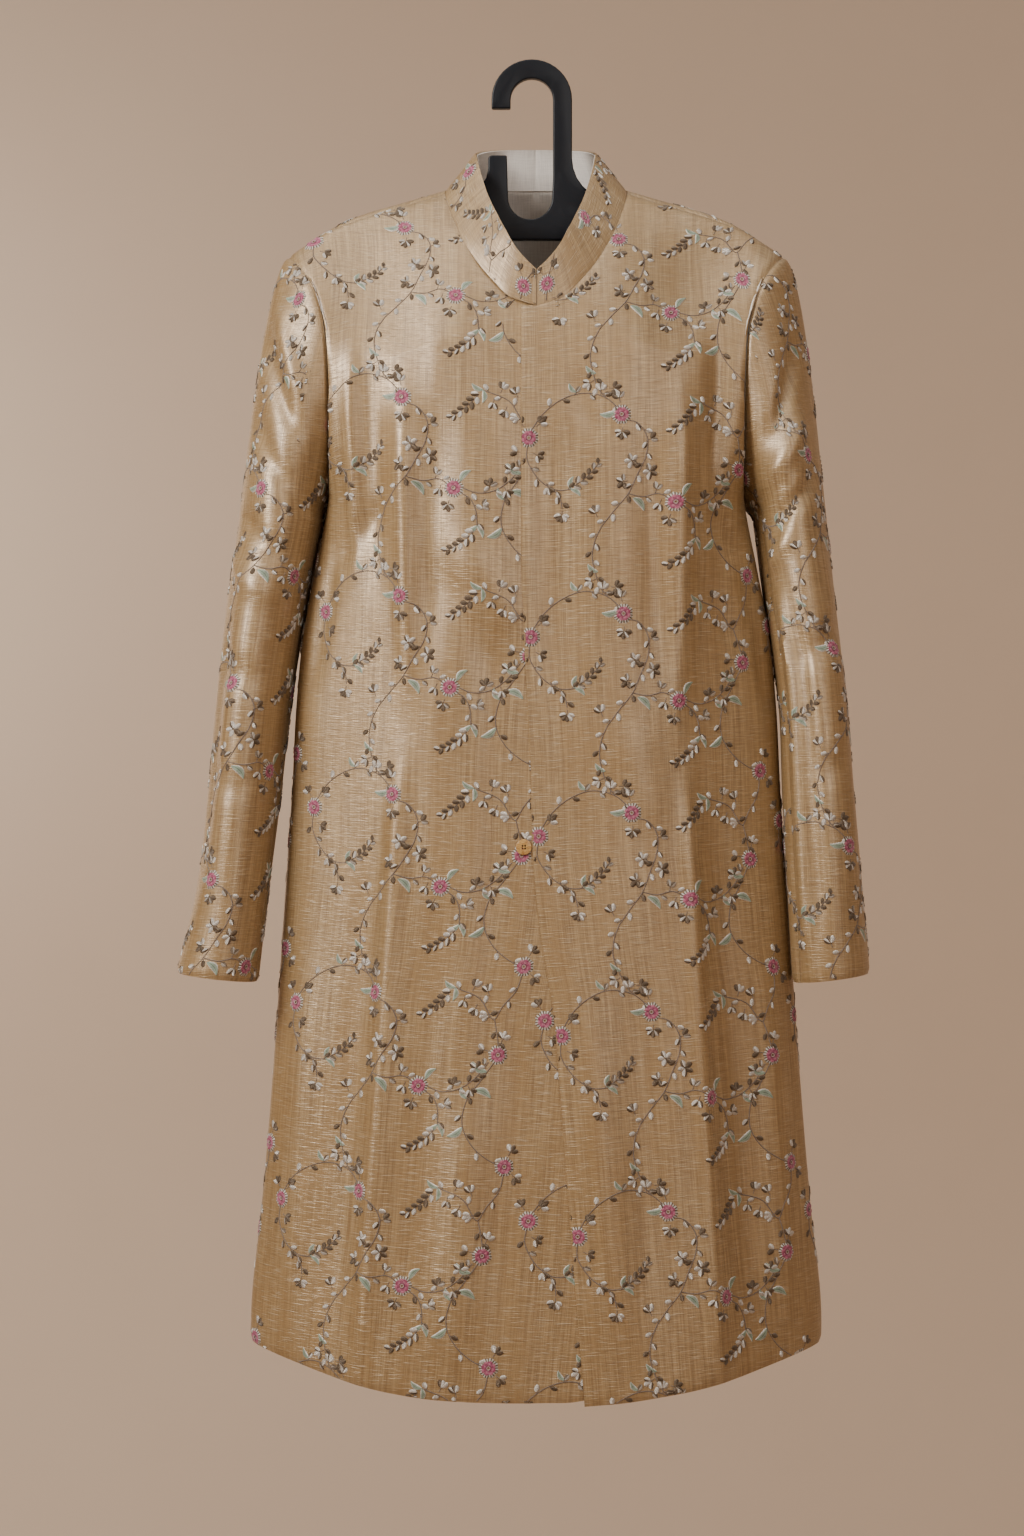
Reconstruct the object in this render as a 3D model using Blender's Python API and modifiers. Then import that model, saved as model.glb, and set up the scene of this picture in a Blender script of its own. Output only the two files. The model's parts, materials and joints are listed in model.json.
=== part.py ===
"""Sherwani coat on a clothes hanger: a knee-length coat with a stand collar, hanging closed and filled out.

Metres, +Z up. The coat faces -Y and the wearer's left is +X. The origin is the inner crown of the
hanger's hook, where a rod carries it. Cloth pieces are open surfaces of rows and columns with a
Solidify wall on their inner side. Each row runs across a piece and each column runs down it.
Surfaces are worked out for the +X side with the coat's centre at x = 0. Half of them are then
mirrored, and the coat hangs COAT_X beside the hook's centre.
"""

import math
from collections import namedtuple

import bmesh
import bpy
import numpy as np

# Driving sizes
CLOTH = 0.0018  # silk with its interlining
LINING = 0.0010
GAP = 0.0003  # between two pieces at a seam
ARMHOLE_GAP = 0.0018  # the sleeve's cap also turns down there
BENT_GAP = 0.0012  # where the cloth bends over a seam, so that the inner edges keep GAP
COAT_X = 0.004
UNDERARM_Z = -0.395
HEM_CENTRE_Z = -1.230
HEM_SIDE_Z = -1.187
HEM_BACK_Z = -1.206
FLAT_FRONT = 0.085  # half width of the flat strip down the centre front
SIDE_TURN = 0.045  # how far the side rounds from front to back, each way from the side seam

# The fastening: the wearer's left front lies over the right one
UNDERLAP = 0.035  # the right front goes on this far under the left one
LAYER = CLOTH + 0.0008  # how far the right front lies behind the left one there
STEP_START = 0.055  # the right front starts to step back this far before the left one's edge
STEP_END = 0.030
UNDER_HEM_RISE = 0.008

# Grid sizes
LOWER_ROWS = 11  # hem to underarm
FRONT_UPPER_ROWS = (4, 8)  # underarm to the neck's lowest point, and on to the shoulder seam
BACK_UPPER_ROWS = (6, 7)
PANEL_COLUMNS = 10
CAP_ROWS = 8  # armhole to upper arm
ARM_ROWS = 8  # upper arm to cuff
TOP_SLEEVE_COLUMNS = 10
UNDER_SLEEVE_COLUMNS = 4
COLLAR_ROWS = 2
COLLAR_COLUMNS = 20
COLLAR_LIFT = 0.0018  # the collar's lower edge stands this far off the neckline

# The body at each height: half width at the side seam, y of the flat front and back, and x of the
# pressed ridge on each front.
Level = namedtuple("Level", "z half_width front back ridge_x")
BODY = (
    Level(-1.230, 0.2650, -0.130, 0.122, 0.164),
    Level(-1.160, 0.2670, -0.129, 0.119, 0.159),
    Level(-1.060, 0.2570, -0.126, 0.112, 0.151),
    Level(-0.920, 0.2455, -0.121, 0.103, 0.143),
    Level(-0.780, 0.2360, -0.115, 0.094, 0.135),
    Level(-0.680, 0.2290, -0.111, 0.088, 0.131),
    Level(-0.590, 0.2245, -0.109, 0.084, 0.129),
    Level(-0.530, 0.2188, -0.108, 0.085, 0.130),
    Level(-0.460, 0.2058, -0.108, 0.089, 0.134),
    Level(-0.395, 0.1930, -0.107, 0.094, 0.139),
    Level(-0.300, 0.1900, -0.102, 0.101, 0.144),
    Level(-0.226, 0.2000, -0.088, 0.098, 0.146),
    Level(-0.182, 0.2150, -0.068, 0.088, 0.150),
    Level(-0.131, 0.2300, -0.030, 0.072, 0.150),
    Level(-0.096, 0.2300, 0.004, 0.058, 0.150),
)
RIDGE_DEPTH = 0.013  # how far the ridge lies behind the flat front

# The front opening: x of the left front's edge, slanting towards the wearer's left at the hem
Edge = namedtuple("Edge", "z x")
OPENING = (
    Edge(-1.230, 0.043),
    Edge(-1.090, 0.032),
    Edge(-0.950, 0.021),
    Edge(-0.860, 0.013),
    Edge(-0.820, 0.006),
    Edge(-0.730, -0.004),
    Edge(-0.640, -0.006),
    Edge(-0.530, -0.012),
    Edge(-0.226, -0.0145),
)

# The neckline and the collar's top edge, from the centre front round to the centre back
Neck = namedtuple("Neck", "x y z top_x top_y top_z")
NECK = (
    Neck(0.0000, -0.088, -0.2265, 0.0000, -0.084, -0.1925),
    Neck(0.0245, -0.086, -0.2180, 0.0107, -0.082, -0.1820),
    Neck(0.0385, -0.080, -0.2040, 0.0208, -0.078, -0.1690),
    Neck(0.0557, -0.068, -0.1824, 0.0292, -0.070, -0.1530),
    Neck(0.0700, -0.052, -0.1567, 0.0355, -0.057, -0.1390),
    Neck(0.0800, -0.030, -0.1310, 0.0465, -0.034, -0.1120),
    Neck(0.0860, -0.006, -0.1080, 0.0560, -0.005, -0.0760),
    Neck(0.0780, 0.030, -0.1005, 0.0560, 0.026, -0.0640),
    Neck(0.0450, 0.052, -0.0970, 0.0340, 0.047, -0.0580),
    Neck(0.0000, 0.058, -0.0960, 0.0000, 0.054, -0.0565),
)
NECK_POINT = 6  # the row of NECK where the shoulder seam ends

# The armhole, an upright egg: its top is the shoulder tip
TIP_Z = -0.170
TIP_OUT = 0.0430  # how much further out the tip is than the armhole's side
TIP_FADE = 0.038
ARMHOLE_X = 0.190
ARMHOLE_FRONT = 0.062
ARMHOLE_BACK = 0.060
TIP_Y = -0.010

# The shoulder seam bends at this point
SHOULDER_BEND = (0.190, -0.020, -0.142)
SHOULDER_LIFT = 0.004  # the shoulder's ridge, behind the seam, lies this much higher

# Sleeves at each height: x of the inner and outer sides, y of the middle, half of the depth
Ring = namedtuple("Ring", "z inner outer middle depth")
RIGHT_SLEEVE = (
    Ring(-0.420, 0.1995, 0.2800, -0.002, 0.073),
    Ring(-0.490, 0.2140, 0.2900, -0.006, 0.071),
    Ring(-0.587, 0.2296, 0.3005, -0.013, 0.066),
    Ring(-0.681, 0.2400, 0.3085, -0.022, 0.058),
    Ring(-0.776, 0.2515, 0.3190, -0.033, 0.052),
    Ring(-0.845, 0.2590, 0.3350, -0.042, 0.047),
)
LEFT_SLEEVE = (
    Ring(-0.420, 0.2050, 0.2735, -0.006, 0.074),
    Ring(-0.490, 0.2135, 0.2800, -0.015, 0.072),
    Ring(-0.587, 0.2262, 0.2890, -0.034, 0.063),
    Ring(-0.681, 0.2295, 0.2960, -0.043, 0.057),
    Ring(-0.776, 0.2340, 0.3035, -0.051, 0.051),
    Ring(-0.845, 0.2375, 0.3090, -0.055, 0.046),
)
CUFF_SLOPE = 0.009  # the cuff's inner side is this much lower than its outer side
# The sleeves' seams, as angles round from the outer side, through the front. The left arm is turned.
FOREARM_SEAM = {"right": math.radians(170), "left": math.radians(152)}
HIND_SEAM = math.radians(-138)
SEAM_TURN = 0.016  # each sleeve piece stops this angle short of the seam
CAP_REACH = (0.060, 0.012, 0.030)  # how the cloth leaves the armhole: out, forward or back, down
ARM_REACH = 0.20

# The hanger
HANGER_THICKNESS = 0.010
HOOK_INNER_R = 0.020
HOOK_OUTER_R = 0.038
HOOK_TIP_DROP = 0.0085  # below the hook's centre
POST_INNER = 0.0235  # the free post beside the slot
POST_OUTER = 0.0413
POST_TOP_Z = -0.0727
SLOT_X = -0.0016
SLOT_R = 0.0208
SLOT_BOTTOM_Z = -0.1331
PLATE_BOTTOM_Z = -0.151
ARM_TIP_X = 0.203
ARM_TIP_Z = -0.190
ARM_TIP_R = 0.008

# The button under the left front's edge
BUTTON_R = 0.0072
BUTTON_THICKNESS = 0.0025
BUTTON_Z = -0.723
BUTTON_HOLE_R = 0.0009
BUTTON_HOLE_PITCH = 0.0017


def clear_scene():
    for obj in list(bpy.data.objects):
        bpy.data.objects.remove(obj, do_unlink=True)
    for mesh in list(bpy.data.meshes):
        bpy.data.meshes.remove(mesh)


def collection(name, hidden=False):
    made = bpy.data.collections.new(name)
    bpy.context.scene.collection.children.link(made)
    made.hide_render = hidden
    return made


def material(name, colour, roughness, metallic=0.0):
    made = bpy.data.materials.new(name)
    made.use_nodes = True
    shader = made.node_tree.nodes["Principled BSDF"]
    shader.inputs["Base Color"].default_value = (*colour, 1.0)
    shader.inputs["Roughness"].default_value = roughness
    shader.inputs["Metallic"].default_value = metallic
    return made


# Curves


def through(places, values, at):
    """The smooth curve through these values at rising places, read at one place."""
    places = np.asarray(places, float)
    values = np.asarray(values, float)
    at = min(max(at, places[0]), places[-1])
    slopes = np.gradient(values, places, axis=0)
    k = min(int(np.searchsorted(places, at, side="right")) - 1, len(places) - 2)
    span = places[k + 1] - places[k]
    t = (at - places[k]) / span
    start = (1 + 2 * t) * (1 - t) ** 2 * values[k] + t * (1 - t) ** 2 * span * slopes[k]
    end = t * t * (3 - 2 * t) * values[k + 1] + t * t * (t - 1) * span * slopes[k + 1]
    return start + end


def column(table, name, z):
    """One column of a table of heights, read at height z."""
    return through([row.z for row in table], [getattr(row, name) for row in table], z)


def rounded(corners, share=0.8):
    """A polyline through the corners, each inner one rounded over this share of its half legs."""
    corners = [np.asarray(corner, float) for corner in corners]
    line = [corners[0]]
    for before, corner, after in zip(corners, corners[1:], corners[2:]):
        start = corner + (before - corner) * share / 2
        end = corner + (after - corner) * share / 2
        for t in np.linspace(0, 1, 9):
            line.append((1 - t) ** 2 * start + 2 * t * (1 - t) * corner + t * t * end)
    line.append(corners[-1])
    return np.array(line)


def lengths(line):
    """How far along the polyline each of its points lies."""
    return np.concatenate([[0], np.cumsum(np.linalg.norm(np.diff(line, axis=0), axis=1))])


def along(line, share):
    """The point at this share of the polyline's length."""
    run = lengths(line)
    return np.array([np.interp(share * run[-1], run, line[:, k]) for k in range(3)])


def evenly(line, count):
    """count + 1 points an equal length apart along the polyline."""
    return np.array([along(line, k / count) for k in range(count + 1)])


def smoothstep(start, end, value):
    t = min(max((value - start) / (end - start), 0), 1)
    return t * t * (3 - 2 * t)


def mix(a, b, t):
    return np.asarray(a, float) * (1 - t) + np.asarray(b, float) * t


# The lines that the pieces share


def armhole(angle):
    """A point on the armhole: angle 0 is the shoulder tip, pi/2 the front, pi the underarm."""
    height = (TIP_Z - UNDERARM_Z) / 2
    drop = height * (1 - math.cos(angle))
    reach = ARMHOLE_FRONT if math.sin(angle) > 0 else ARMHOLE_BACK
    x = ARMHOLE_X + TIP_OUT * math.exp(-drop / TIP_FADE) + 0.003 * (drop / height / 2) ** 2
    y = -reach * math.sin(angle) + TIP_Y * (1 - drop / height / 2)
    return np.array([x, y, TIP_Z - drop])


def armhole_line(sign):
    """The armhole from the underarm up to the tip: sign 1 by the front and -1 by the back."""
    return np.array([armhole(sign * math.pi * (1 - t)) for t in np.linspace(0, 1, 41)])


def neckline(row, top=0.0):
    """A point round the neckline at this row of NECK, or up the collar towards its top edge."""
    points = [mix((n.x, n.y, n.z), (n.top_x, n.top_y, n.top_z), top) for n in NECK]
    return through(range(len(NECK)), points, row)


def neckline_line(first, last):
    return np.array([neckline(row) for row in np.linspace(first, last, 31)])


def opening_x(z):
    return column(OPENING, "x", z)


def bowed(z_centre, z_side, x, half_width):
    """The height of a row at x, which sags between the side seams."""
    return z_side + (z_centre - z_side) * (1 - (x / half_width) ** 2)


def lower_row(down, face, start_x, hem_centre):
    """A row of the body below the underarm, from start_x round to the side seam. down goes from 0 at
    the underarm to 1 at the hem, and face is "front" or "back"."""
    z_side = UNDERARM_Z + (HEM_SIDE_Z - UNDERARM_Z) * down
    z_centre = UNDERARM_Z + (hem_centre - UNDERARM_Z) * down
    side = column(BODY, "half_width", z_side)
    ridge = column(BODY, "ridge_x", z_centre)
    sign = -1 if face == "front" else 1
    flat_y = column(BODY, face, z_centre)
    places = (
        (start_x, flat_y),
        (FLAT_FRONT, flat_y),
        (ridge, flat_y - sign * RIDGE_DEPTH),
        (side, sign * SIDE_TURN),
        (side, sign * GAP / 2),
    )
    corners = [(x, y, bowed(z_centre, z_side, x, side)) for x, y in places]
    return rounded(corners)


def upper_row(start, share, end, face, high):
    """A row of the body above the underarm, from a point on the centre or neckline to one on the
    armhole. share goes from 0 at the underarm to 1 at the shoulder seam, and high from 0 at the neck's
    lowest row to 1 at the seam."""
    sign = -1 if face == "front" else 1
    middle = mix(start, end, 0.62)
    lift = 0.020 * high
    if face == "back":
        lift = 0.020 * smoothstep(-0.4, 0.2, high - 0.2) + SHOULDER_LIFT * math.sin(math.pi * high)
    middle[2] += lift
    plane = column(BODY, face, middle[2]) - sign * RIDGE_DEPTH * 0.6
    middle[1] = plane * (1 - high) + SHOULDER_BEND[1] * high
    if high > 0:
        middle = mix(middle, SHOULDER_BEND, high**2)
    turn = end + np.array([0, sign * SIDE_TURN * (1 - share) ** 3, 0])
    corners = [start, middle, turn, end]
    if start[0] < FLAT_FRONT - 0.01:
        knee = mix(start, middle, (FLAT_FRONT - start[0]) / (middle[0] - start[0]))
        knee[1] = column(BODY, face, knee[2]) * (1 - high) + knee[1] * high
        corners.insert(1, knee)
    return rounded(corners)


def inset(line, distance):
    """The polyline with its last point moved back by a distance, to leave a seam's gap."""
    return np.array([along(line, t * (1 - distance / lengths(line)[-1])) for t in np.linspace(0, 1, 41)])


def upper_shares(corner_share, counts):
    """For each row above the underarm, its share of the way to the shoulder seam and of the way from
    the neck's lowest point. counts are the rows below that point and above it."""
    below, above = counts
    shares = [(corner_share * k / below, 0) for k in range(below)]
    return shares + [(mix(corner_share, 1, k / above), k / above) for k in range(above + 1)]


def front_rows(edge_x, columns):
    """Rows of a front from the hem up. edge_x gives the front edge's x at a height."""
    rows = []
    for k in range(LOWER_ROWS):
        down = 1 - k / LOWER_ROWS
        z = UNDERARM_Z + (HEM_CENTRE_Z - UNDERARM_Z) * down
        rows.append(evenly(lower_row(down, "front", edge_x(z), HEM_CENTRE_Z), columns))
    neck_z = NECK[0].z
    corner = np.array([edge_x(neck_z), column(BODY, "front", neck_z), neck_z])
    foot = np.array([edge_x(UNDERARM_Z), column(BODY, "front", UNDERARM_Z), UNDERARM_Z])
    edge = np.vstack([[foot], [corner], neckline_line(0, NECK_POINT)])
    corner_share = lengths(edge)[1] / lengths(edge)[-1]
    hole = armhole_line(1)
    for share, high in upper_shares(corner_share, FRONT_UPPER_ROWS):
        start = along(edge, share)
        if high == 0:
            start[0] = edge_x(start[2])
            start[1] = column(BODY, "front", start[2])
        line = upper_row(start, share, along(hole, share), "front", high)
        line = inset(line, ARMHOLE_GAP / 2)
        if high == 1:
            line = line + np.array([0, -BENT_GAP / 2, 0])
        rows.append(evenly(line, columns))
    return np.array(rows)


def back_rows(columns):
    """Rows of the back's +X half from the hem up."""
    rows = []
    for k in range(LOWER_ROWS):
        line = lower_row(1 - k / LOWER_ROWS, "back", 0, HEM_BACK_Z)
        rows.append(evenly(line, columns))
    foot = np.array([0, column(BODY, "back", UNDERARM_Z), UNDERARM_Z])
    edge = np.vstack([[foot], neckline_line(len(NECK) - 1, NECK_POINT)])
    nape_share = lengths(edge)[1] / lengths(edge)[-1]
    hole = armhole_line(-1)
    for share, high in upper_shares(nape_share, BACK_UPPER_ROWS):
        start = along(edge, share)
        if 0 < share < nape_share:
            start[1] = column(BODY, "back", start[2])
        line = upper_row(start, share, along(hole, share), "back", high)
        line = inset(line, ARMHOLE_GAP / 2)
        if high == 1:
            line = line + np.array([0, BENT_GAP / 2, 0])
        rows.append(evenly(line, columns))
    return np.array(rows)


def right_edge_x(z):
    """The hidden edge of the right front, seen from its own side."""
    return -(opening_x(z) + UNDERLAP)


def step_back(point):
    """Moves a point of the right front behind the left one, where they overlap, and lifts its hem."""
    x, y, z = point
    past_edge = -x - opening_x(z)
    y += LAYER * smoothstep(-STEP_START, -STEP_END, past_edge)
    near_hem = smoothstep(-1.15, -1.23, z)
    z += UNDER_HEM_RISE * near_hem * smoothstep(-0.02, UNDERLAP, past_edge)
    return np.array([x, y, z])


def sleeve_rows(rings, first, last, columns):
    """Rows of a sleeve piece from the cuff up to the armhole, between two angles round the arm."""
    angles = np.linspace(first, last, columns + 1)
    rows = []
    for k in range(ARM_ROWS + 1):
        z = rings[-1].z + (rings[0].z - rings[-1].z) * k / ARM_ROWS
        rows.append([ring_point(rings, z, angle) for angle in angles])
    for k in range(1, CAP_ROWS + 1):
        rows.append([cap_point(rings, k / CAP_ROWS, angle) for angle in angles])
    return np.array(rows)


def ring_point(rings, z, angle):
    """A point round the sleeve: angle 0 is its outer side, pi/2 its front, pi its inner side."""
    table = sorted(rings)
    inner, outer = column(table, "inner", z), column(table, "outer", z)
    half = (outer - inner) / 2
    x = (inner + outer) / 2 + half * math.cos(angle)
    y = column(table, "middle", z) - column(table, "depth", z) * math.sin(angle)
    low = (z - rings[0].z) / (rings[-1].z - rings[0].z)
    return np.array([x, y, z + CUFF_SLOPE * low**4 * math.cos(angle) / 2])


def cap_point(rings, up, angle):
    """A point of the sleeve's cap. up goes from 0 at the upper arm to 1 at the armhole."""
    arm, hole = ring_point(rings, rings[0].z, angle), armhole(angle)
    cosine, sine = math.cos(angle), math.sin(angle)
    out, across, down = CAP_REACH
    high = (1 + cosine) / 2
    leave = np.array([out * (0.25 + 0.75 * high), -across * sine, -down - 0.02 * (1 - high)])
    span = ARM_REACH * (0.12 + 0.88 * high**0.8)
    arrive = np.array([0.11 * cosine * span, 0, -span])
    t = 1 - up
    start = (1 + 2 * t) * (1 - t) ** 2 * hole + t * (1 - t) ** 2 * leave
    end = t * t * (3 - 2 * t) * arm + t * t * (t - 1) * arrive
    return start + end + ARMHOLE_GAP / 2 * leave / np.linalg.norm(leave) * (1 - t)


def collar_rows(columns):
    """Rows of the collar's +X half from the neckline up, from the front edge to the centre back."""
    last = len(NECK) - 1
    rows = []
    for k in range(COLLAR_ROWS + 1):
        up = k / COLLAR_ROWS
        line = np.array([neckline(row, up) for row in np.linspace(0, last, 61)])
        points = evenly(line, columns)
        points[:, 2] += COLLAR_LIFT * (1 - up)
        points[0, 0] = GAP / 2
        points[-1, 0] = 0
        rows.append(points)
    return np.array(rows)


# Objects


def sheet(name, rows, slot, parts, thickness, side=1, mirrored=False, inward=0.0):
    """A cloth piece: a grid laid on rows of points, with a wall on its inner side. side -1 turns the
    piece over to -X, and inward moves the whole wall in from the surface."""
    count, columns = rows.shape[0] - 1, rows.shape[1] - 1
    bm = bmesh.new()
    bmesh.ops.create_grid(bm, x_segments=columns, y_segments=count, size=0.5)
    for vert in bm.verts:
        row, place = round((vert.co.y + 0.5) * count), round((vert.co.x + 0.5) * columns)
        x, y, z = rows[row][place]
        vert.co = (side * x, y, z)
    if side < 0:
        bmesh.ops.reverse_faces(bm, faces=bm.faces)
    mesh = bpy.data.meshes.new(name)
    bm.to_mesh(mesh)
    bm.free()
    mesh.shade_smooth()
    obj = bpy.data.objects.new(name, mesh)
    obj.location.x = COAT_X
    parts.objects.link(obj)
    mesh.materials.append(slot)
    if mirrored:
        mirror = obj.modifiers.new("Mirror", "MIRROR")
        mirror.merge_threshold = 0.00005
    wall = obj.modifiers.new("Wall", "SOLIDIFY")
    wall.thickness = thickness
    wall.offset = -1 - 2 * inward / thickness
    return obj


def arc(centre, radius, start, end, count=12):
    """Points on an arc between two angles in degrees, both ends included."""
    angles = np.radians(np.linspace(start, end, count + 1))
    return [(centre[0] + radius * math.cos(a), centre[1] + radius * math.sin(a)) for a in angles]


def hanger_outline():
    """The hanger's outline in x and z, clockwise from the hook's free end."""
    centre = (0, -HOOK_INNER_R)
    tip_z = centre[1] - HOOK_TIP_DROP
    slot_z = SLOT_BOTTOM_Z + SLOT_R
    hook_right_z = POST_TOP_Z - 0.003
    outline = [(-HOOK_OUTER_R, tip_z)]
    outline += arc(centre, HOOK_OUTER_R, 180, 0, 20)
    outline += [(HOOK_OUTER_R, hook_right_z)]
    outline += flank(1, HOOK_OUTER_R, hook_right_z)
    outline += arm(1)
    outline += [(0.052, PLATE_BOTTOM_Z - 0.0015), (-0.052, PLATE_BOTTOM_Z - 0.0015)]
    outline += [(-x, z) for x, z in reversed(arm(1))]
    outline += [(-x, z) for x, z in reversed(flank(1, POST_OUTER, POST_TOP_Z - 0.014))]
    outline += [(-POST_OUTER, POST_TOP_Z - 0.004)]
    outline += arc((-POST_OUTER + 0.004, POST_TOP_Z - 0.004), 0.004, 180, 90, 4)
    outline += [(-POST_INNER, POST_TOP_Z)]
    outline += arc((SLOT_X, slot_z), SLOT_R, 180, 360, 16)
    outline += [(HOOK_INNER_R, slot_z + 0.02)]
    outline += arc(centre, HOOK_INNER_R, 0, 180, 16)
    outline += [(-HOOK_INNER_R, tip_z)]
    return outline


def flank(side, start_x, start_z):
    """The hollow curve from the upright down to the top of an arm."""
    start = np.array([start_x, 0, start_z])
    bend = np.array([start_x + 0.003, 0, -0.104])
    line = rounded([start, bend, (0.080, 0, -0.1215)], 1.6)
    return [(side * p[0], p[2]) for p in evenly(line, 7)]


def arm(side):
    """An arm from its root's top, round its tip and back to the plate's bottom edge."""
    tip = (ARM_TIP_X, ARM_TIP_Z)
    points = [(0.120, -0.1340), (0.165, -0.1560)]
    points += arc(tip, ARM_TIP_R, 62, -110, 8)
    points += [(0.150, -0.1790), (0.100, -0.1620)]
    return [(side * x, z) for x, z in points]


def hanger(parts, slot):
    curve = bpy.data.curves.new("hanger", "CURVE")
    curve.dimensions = "2D"
    curve.fill_mode = "BOTH"
    curve.extrude = HANGER_THICKNESS / 2
    outline = hanger_outline()
    spline = curve.splines.new("POLY")
    spline.points.add(len(outline) - 1)
    for point, (x, z) in zip(spline.points, outline):
        point.co = (x, z, 0, 1)
    spline.use_cyclic_u = True
    curve.materials.append(slot)
    obj = bpy.data.objects.new("hanger", curve)
    obj.rotation_euler.x = math.pi / 2
    parts.objects.link(obj)


def button(parts, cutters, slot):
    """A flat disc with four holes, on the right front beside the left one's edge."""
    x = opening_x(BUTTON_Z) - GAP - BUTTON_R
    y = column(BODY, "front", BUTTON_Z) + LAYER - GAP - BUTTON_THICKNESS / 2 - 0.0002
    place = (COAT_X + x, y, BUTTON_Z)
    disc = cylinder("button", BUTTON_R, BUTTON_THICKNESS, place, 32)
    disc.data.materials.append(slot)
    parts.objects.link(disc)
    bevel = disc.modifiers.new("Round edge", "BEVEL")
    bevel.width = 0.0005
    bevel.segments = 2
    for k in range(4):
        turn = math.radians(45 + 90 * k)
        dx, dz = (BUTTON_HOLE_PITCH * f(turn) for f in (math.cos, math.sin))
        hole_place = (place[0] + dx, place[1], place[2] + dz)
        cutter = cylinder(f"button_hole_{k + 1}", BUTTON_HOLE_R, 2 * BUTTON_THICKNESS, hole_place, 12)
        cutter.hide_render = True
        cutter.display_type = "WIRE"
        cutters.objects.link(cutter)
        cut = disc.modifiers.new("Hole", "BOOLEAN")
        cut.object = cutter


def cylinder(name, radius, length, place, sides):
    """A cylinder along Y."""
    bm = bmesh.new()
    bmesh.ops.create_cone(
        bm, cap_ends=True, segments=sides, radius1=radius, radius2=radius, depth=length
    )
    mesh = bpy.data.meshes.new(name)
    bm.to_mesh(mesh)
    bm.free()
    obj = bpy.data.objects.new(name, mesh)
    obj.rotation_euler.x = math.pi / 2
    obj.location = place
    return obj


def main():
    clear_scene()
    parts = collection("sherwani_coat")
    cutters = collection("cutters", hidden=True)
    silk = material("silk", (0.50, 0.34, 0.17), 0.45)
    satin = material("lining", (0.55, 0.49, 0.42), 0.40)
    plastic = material("hanger_plastic", (0.012, 0.014, 0.020), 0.45)
    horn = material("button_horn", (0.55, 0.33, 0.10), 0.35)

    left = front_rows(opening_x, PANEL_COLUMNS)
    right = front_rows(right_edge_x, PANEL_COLUMNS + 1)
    right = np.array([[step_back(point) for point in row] for row in right])
    sheet("front_left", left, silk, parts, CLOTH)
    sheet("front_right", right, silk, parts, CLOTH, side=-1)
    back = back_rows(PANEL_COLUMNS)[:, ::-1]
    sheet("back", back, silk, parts, CLOTH, mirrored=True)
    for name, side, rings in (("right", -1, RIGHT_SLEEVE), ("left", 1, LEFT_SLEEVE)):
        forearm = FOREARM_SEAM[name]
        hind = HIND_SEAM + 2 * math.pi
        spans = {
            "top": (forearm - SEAM_TURN, HIND_SEAM + SEAM_TURN, TOP_SLEEVE_COLUMNS),
            "under": (hind - SEAM_TURN, forearm + SEAM_TURN, UNDER_SLEEVE_COLUMNS),
        }
        for piece, (first, last, columns) in spans.items():
            rows = sleeve_rows(rings, first, last, columns)
            sheet(f"sleeve_{name}_{piece}", rows, silk, parts, CLOTH, side=side)
    collar = collar_rows(COLLAR_COLUMNS)
    sheet("collar", collar, silk, parts, CLOTH, mirrored=True)
    sheet("collar_lining", collar, satin, parts, LINING, mirrored=True, inward=CLOTH + GAP)
    first_row = LOWER_ROWS + BACK_UPPER_ROWS[0] // 2
    lining = back[first_row:, PANEL_COLUMNS // 2 :]
    sheet("back_lining", lining, satin, parts, LINING, mirrored=True, inward=CLOTH + GAP)
    hanger(parts, plastic)
    button(parts, cutters, horn)


main()
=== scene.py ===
"""Sherwani coat on a clothes hanger, dressed: slub silk with raised embroidery, satin lining, a horn
button and a moulded hanger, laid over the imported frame. Metres; the coat faces -Y."""

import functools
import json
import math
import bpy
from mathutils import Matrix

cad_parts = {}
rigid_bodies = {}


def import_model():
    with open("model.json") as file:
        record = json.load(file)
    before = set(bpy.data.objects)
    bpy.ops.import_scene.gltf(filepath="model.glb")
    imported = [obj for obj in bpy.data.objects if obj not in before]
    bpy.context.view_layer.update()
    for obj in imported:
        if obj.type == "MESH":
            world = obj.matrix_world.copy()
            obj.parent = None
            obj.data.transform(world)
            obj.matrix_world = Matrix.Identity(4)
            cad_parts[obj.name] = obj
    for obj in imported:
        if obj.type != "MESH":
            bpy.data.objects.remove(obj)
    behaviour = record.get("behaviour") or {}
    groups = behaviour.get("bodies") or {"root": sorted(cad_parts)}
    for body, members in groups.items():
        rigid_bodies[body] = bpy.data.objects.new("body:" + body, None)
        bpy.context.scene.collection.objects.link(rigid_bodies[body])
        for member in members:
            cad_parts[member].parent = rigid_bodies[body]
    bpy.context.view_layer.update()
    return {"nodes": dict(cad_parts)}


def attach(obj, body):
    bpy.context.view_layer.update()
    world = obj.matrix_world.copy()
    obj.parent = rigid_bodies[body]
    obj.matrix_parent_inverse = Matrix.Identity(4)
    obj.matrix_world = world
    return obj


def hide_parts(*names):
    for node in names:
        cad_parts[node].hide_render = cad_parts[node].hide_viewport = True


bl_info = {
    "name": "Sherwani Coat",
    "version": (1, 0, 0),
    "blender": (4, 5, 0),
    "location": "View3D > Sidebar > Sherwani",
    "description": "Builds an embroidered silk sherwani coat hanging on its hanger",
    "category": "Add Mesh",
}

from collections import namedtuple

import bpy
import numpy as np
from bpy.props import FloatProperty, FloatVectorProperty, PointerProperty
from mathutils import Vector

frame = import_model()

# ---------------------------------------------------------------- the cut, as in the frame

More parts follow.
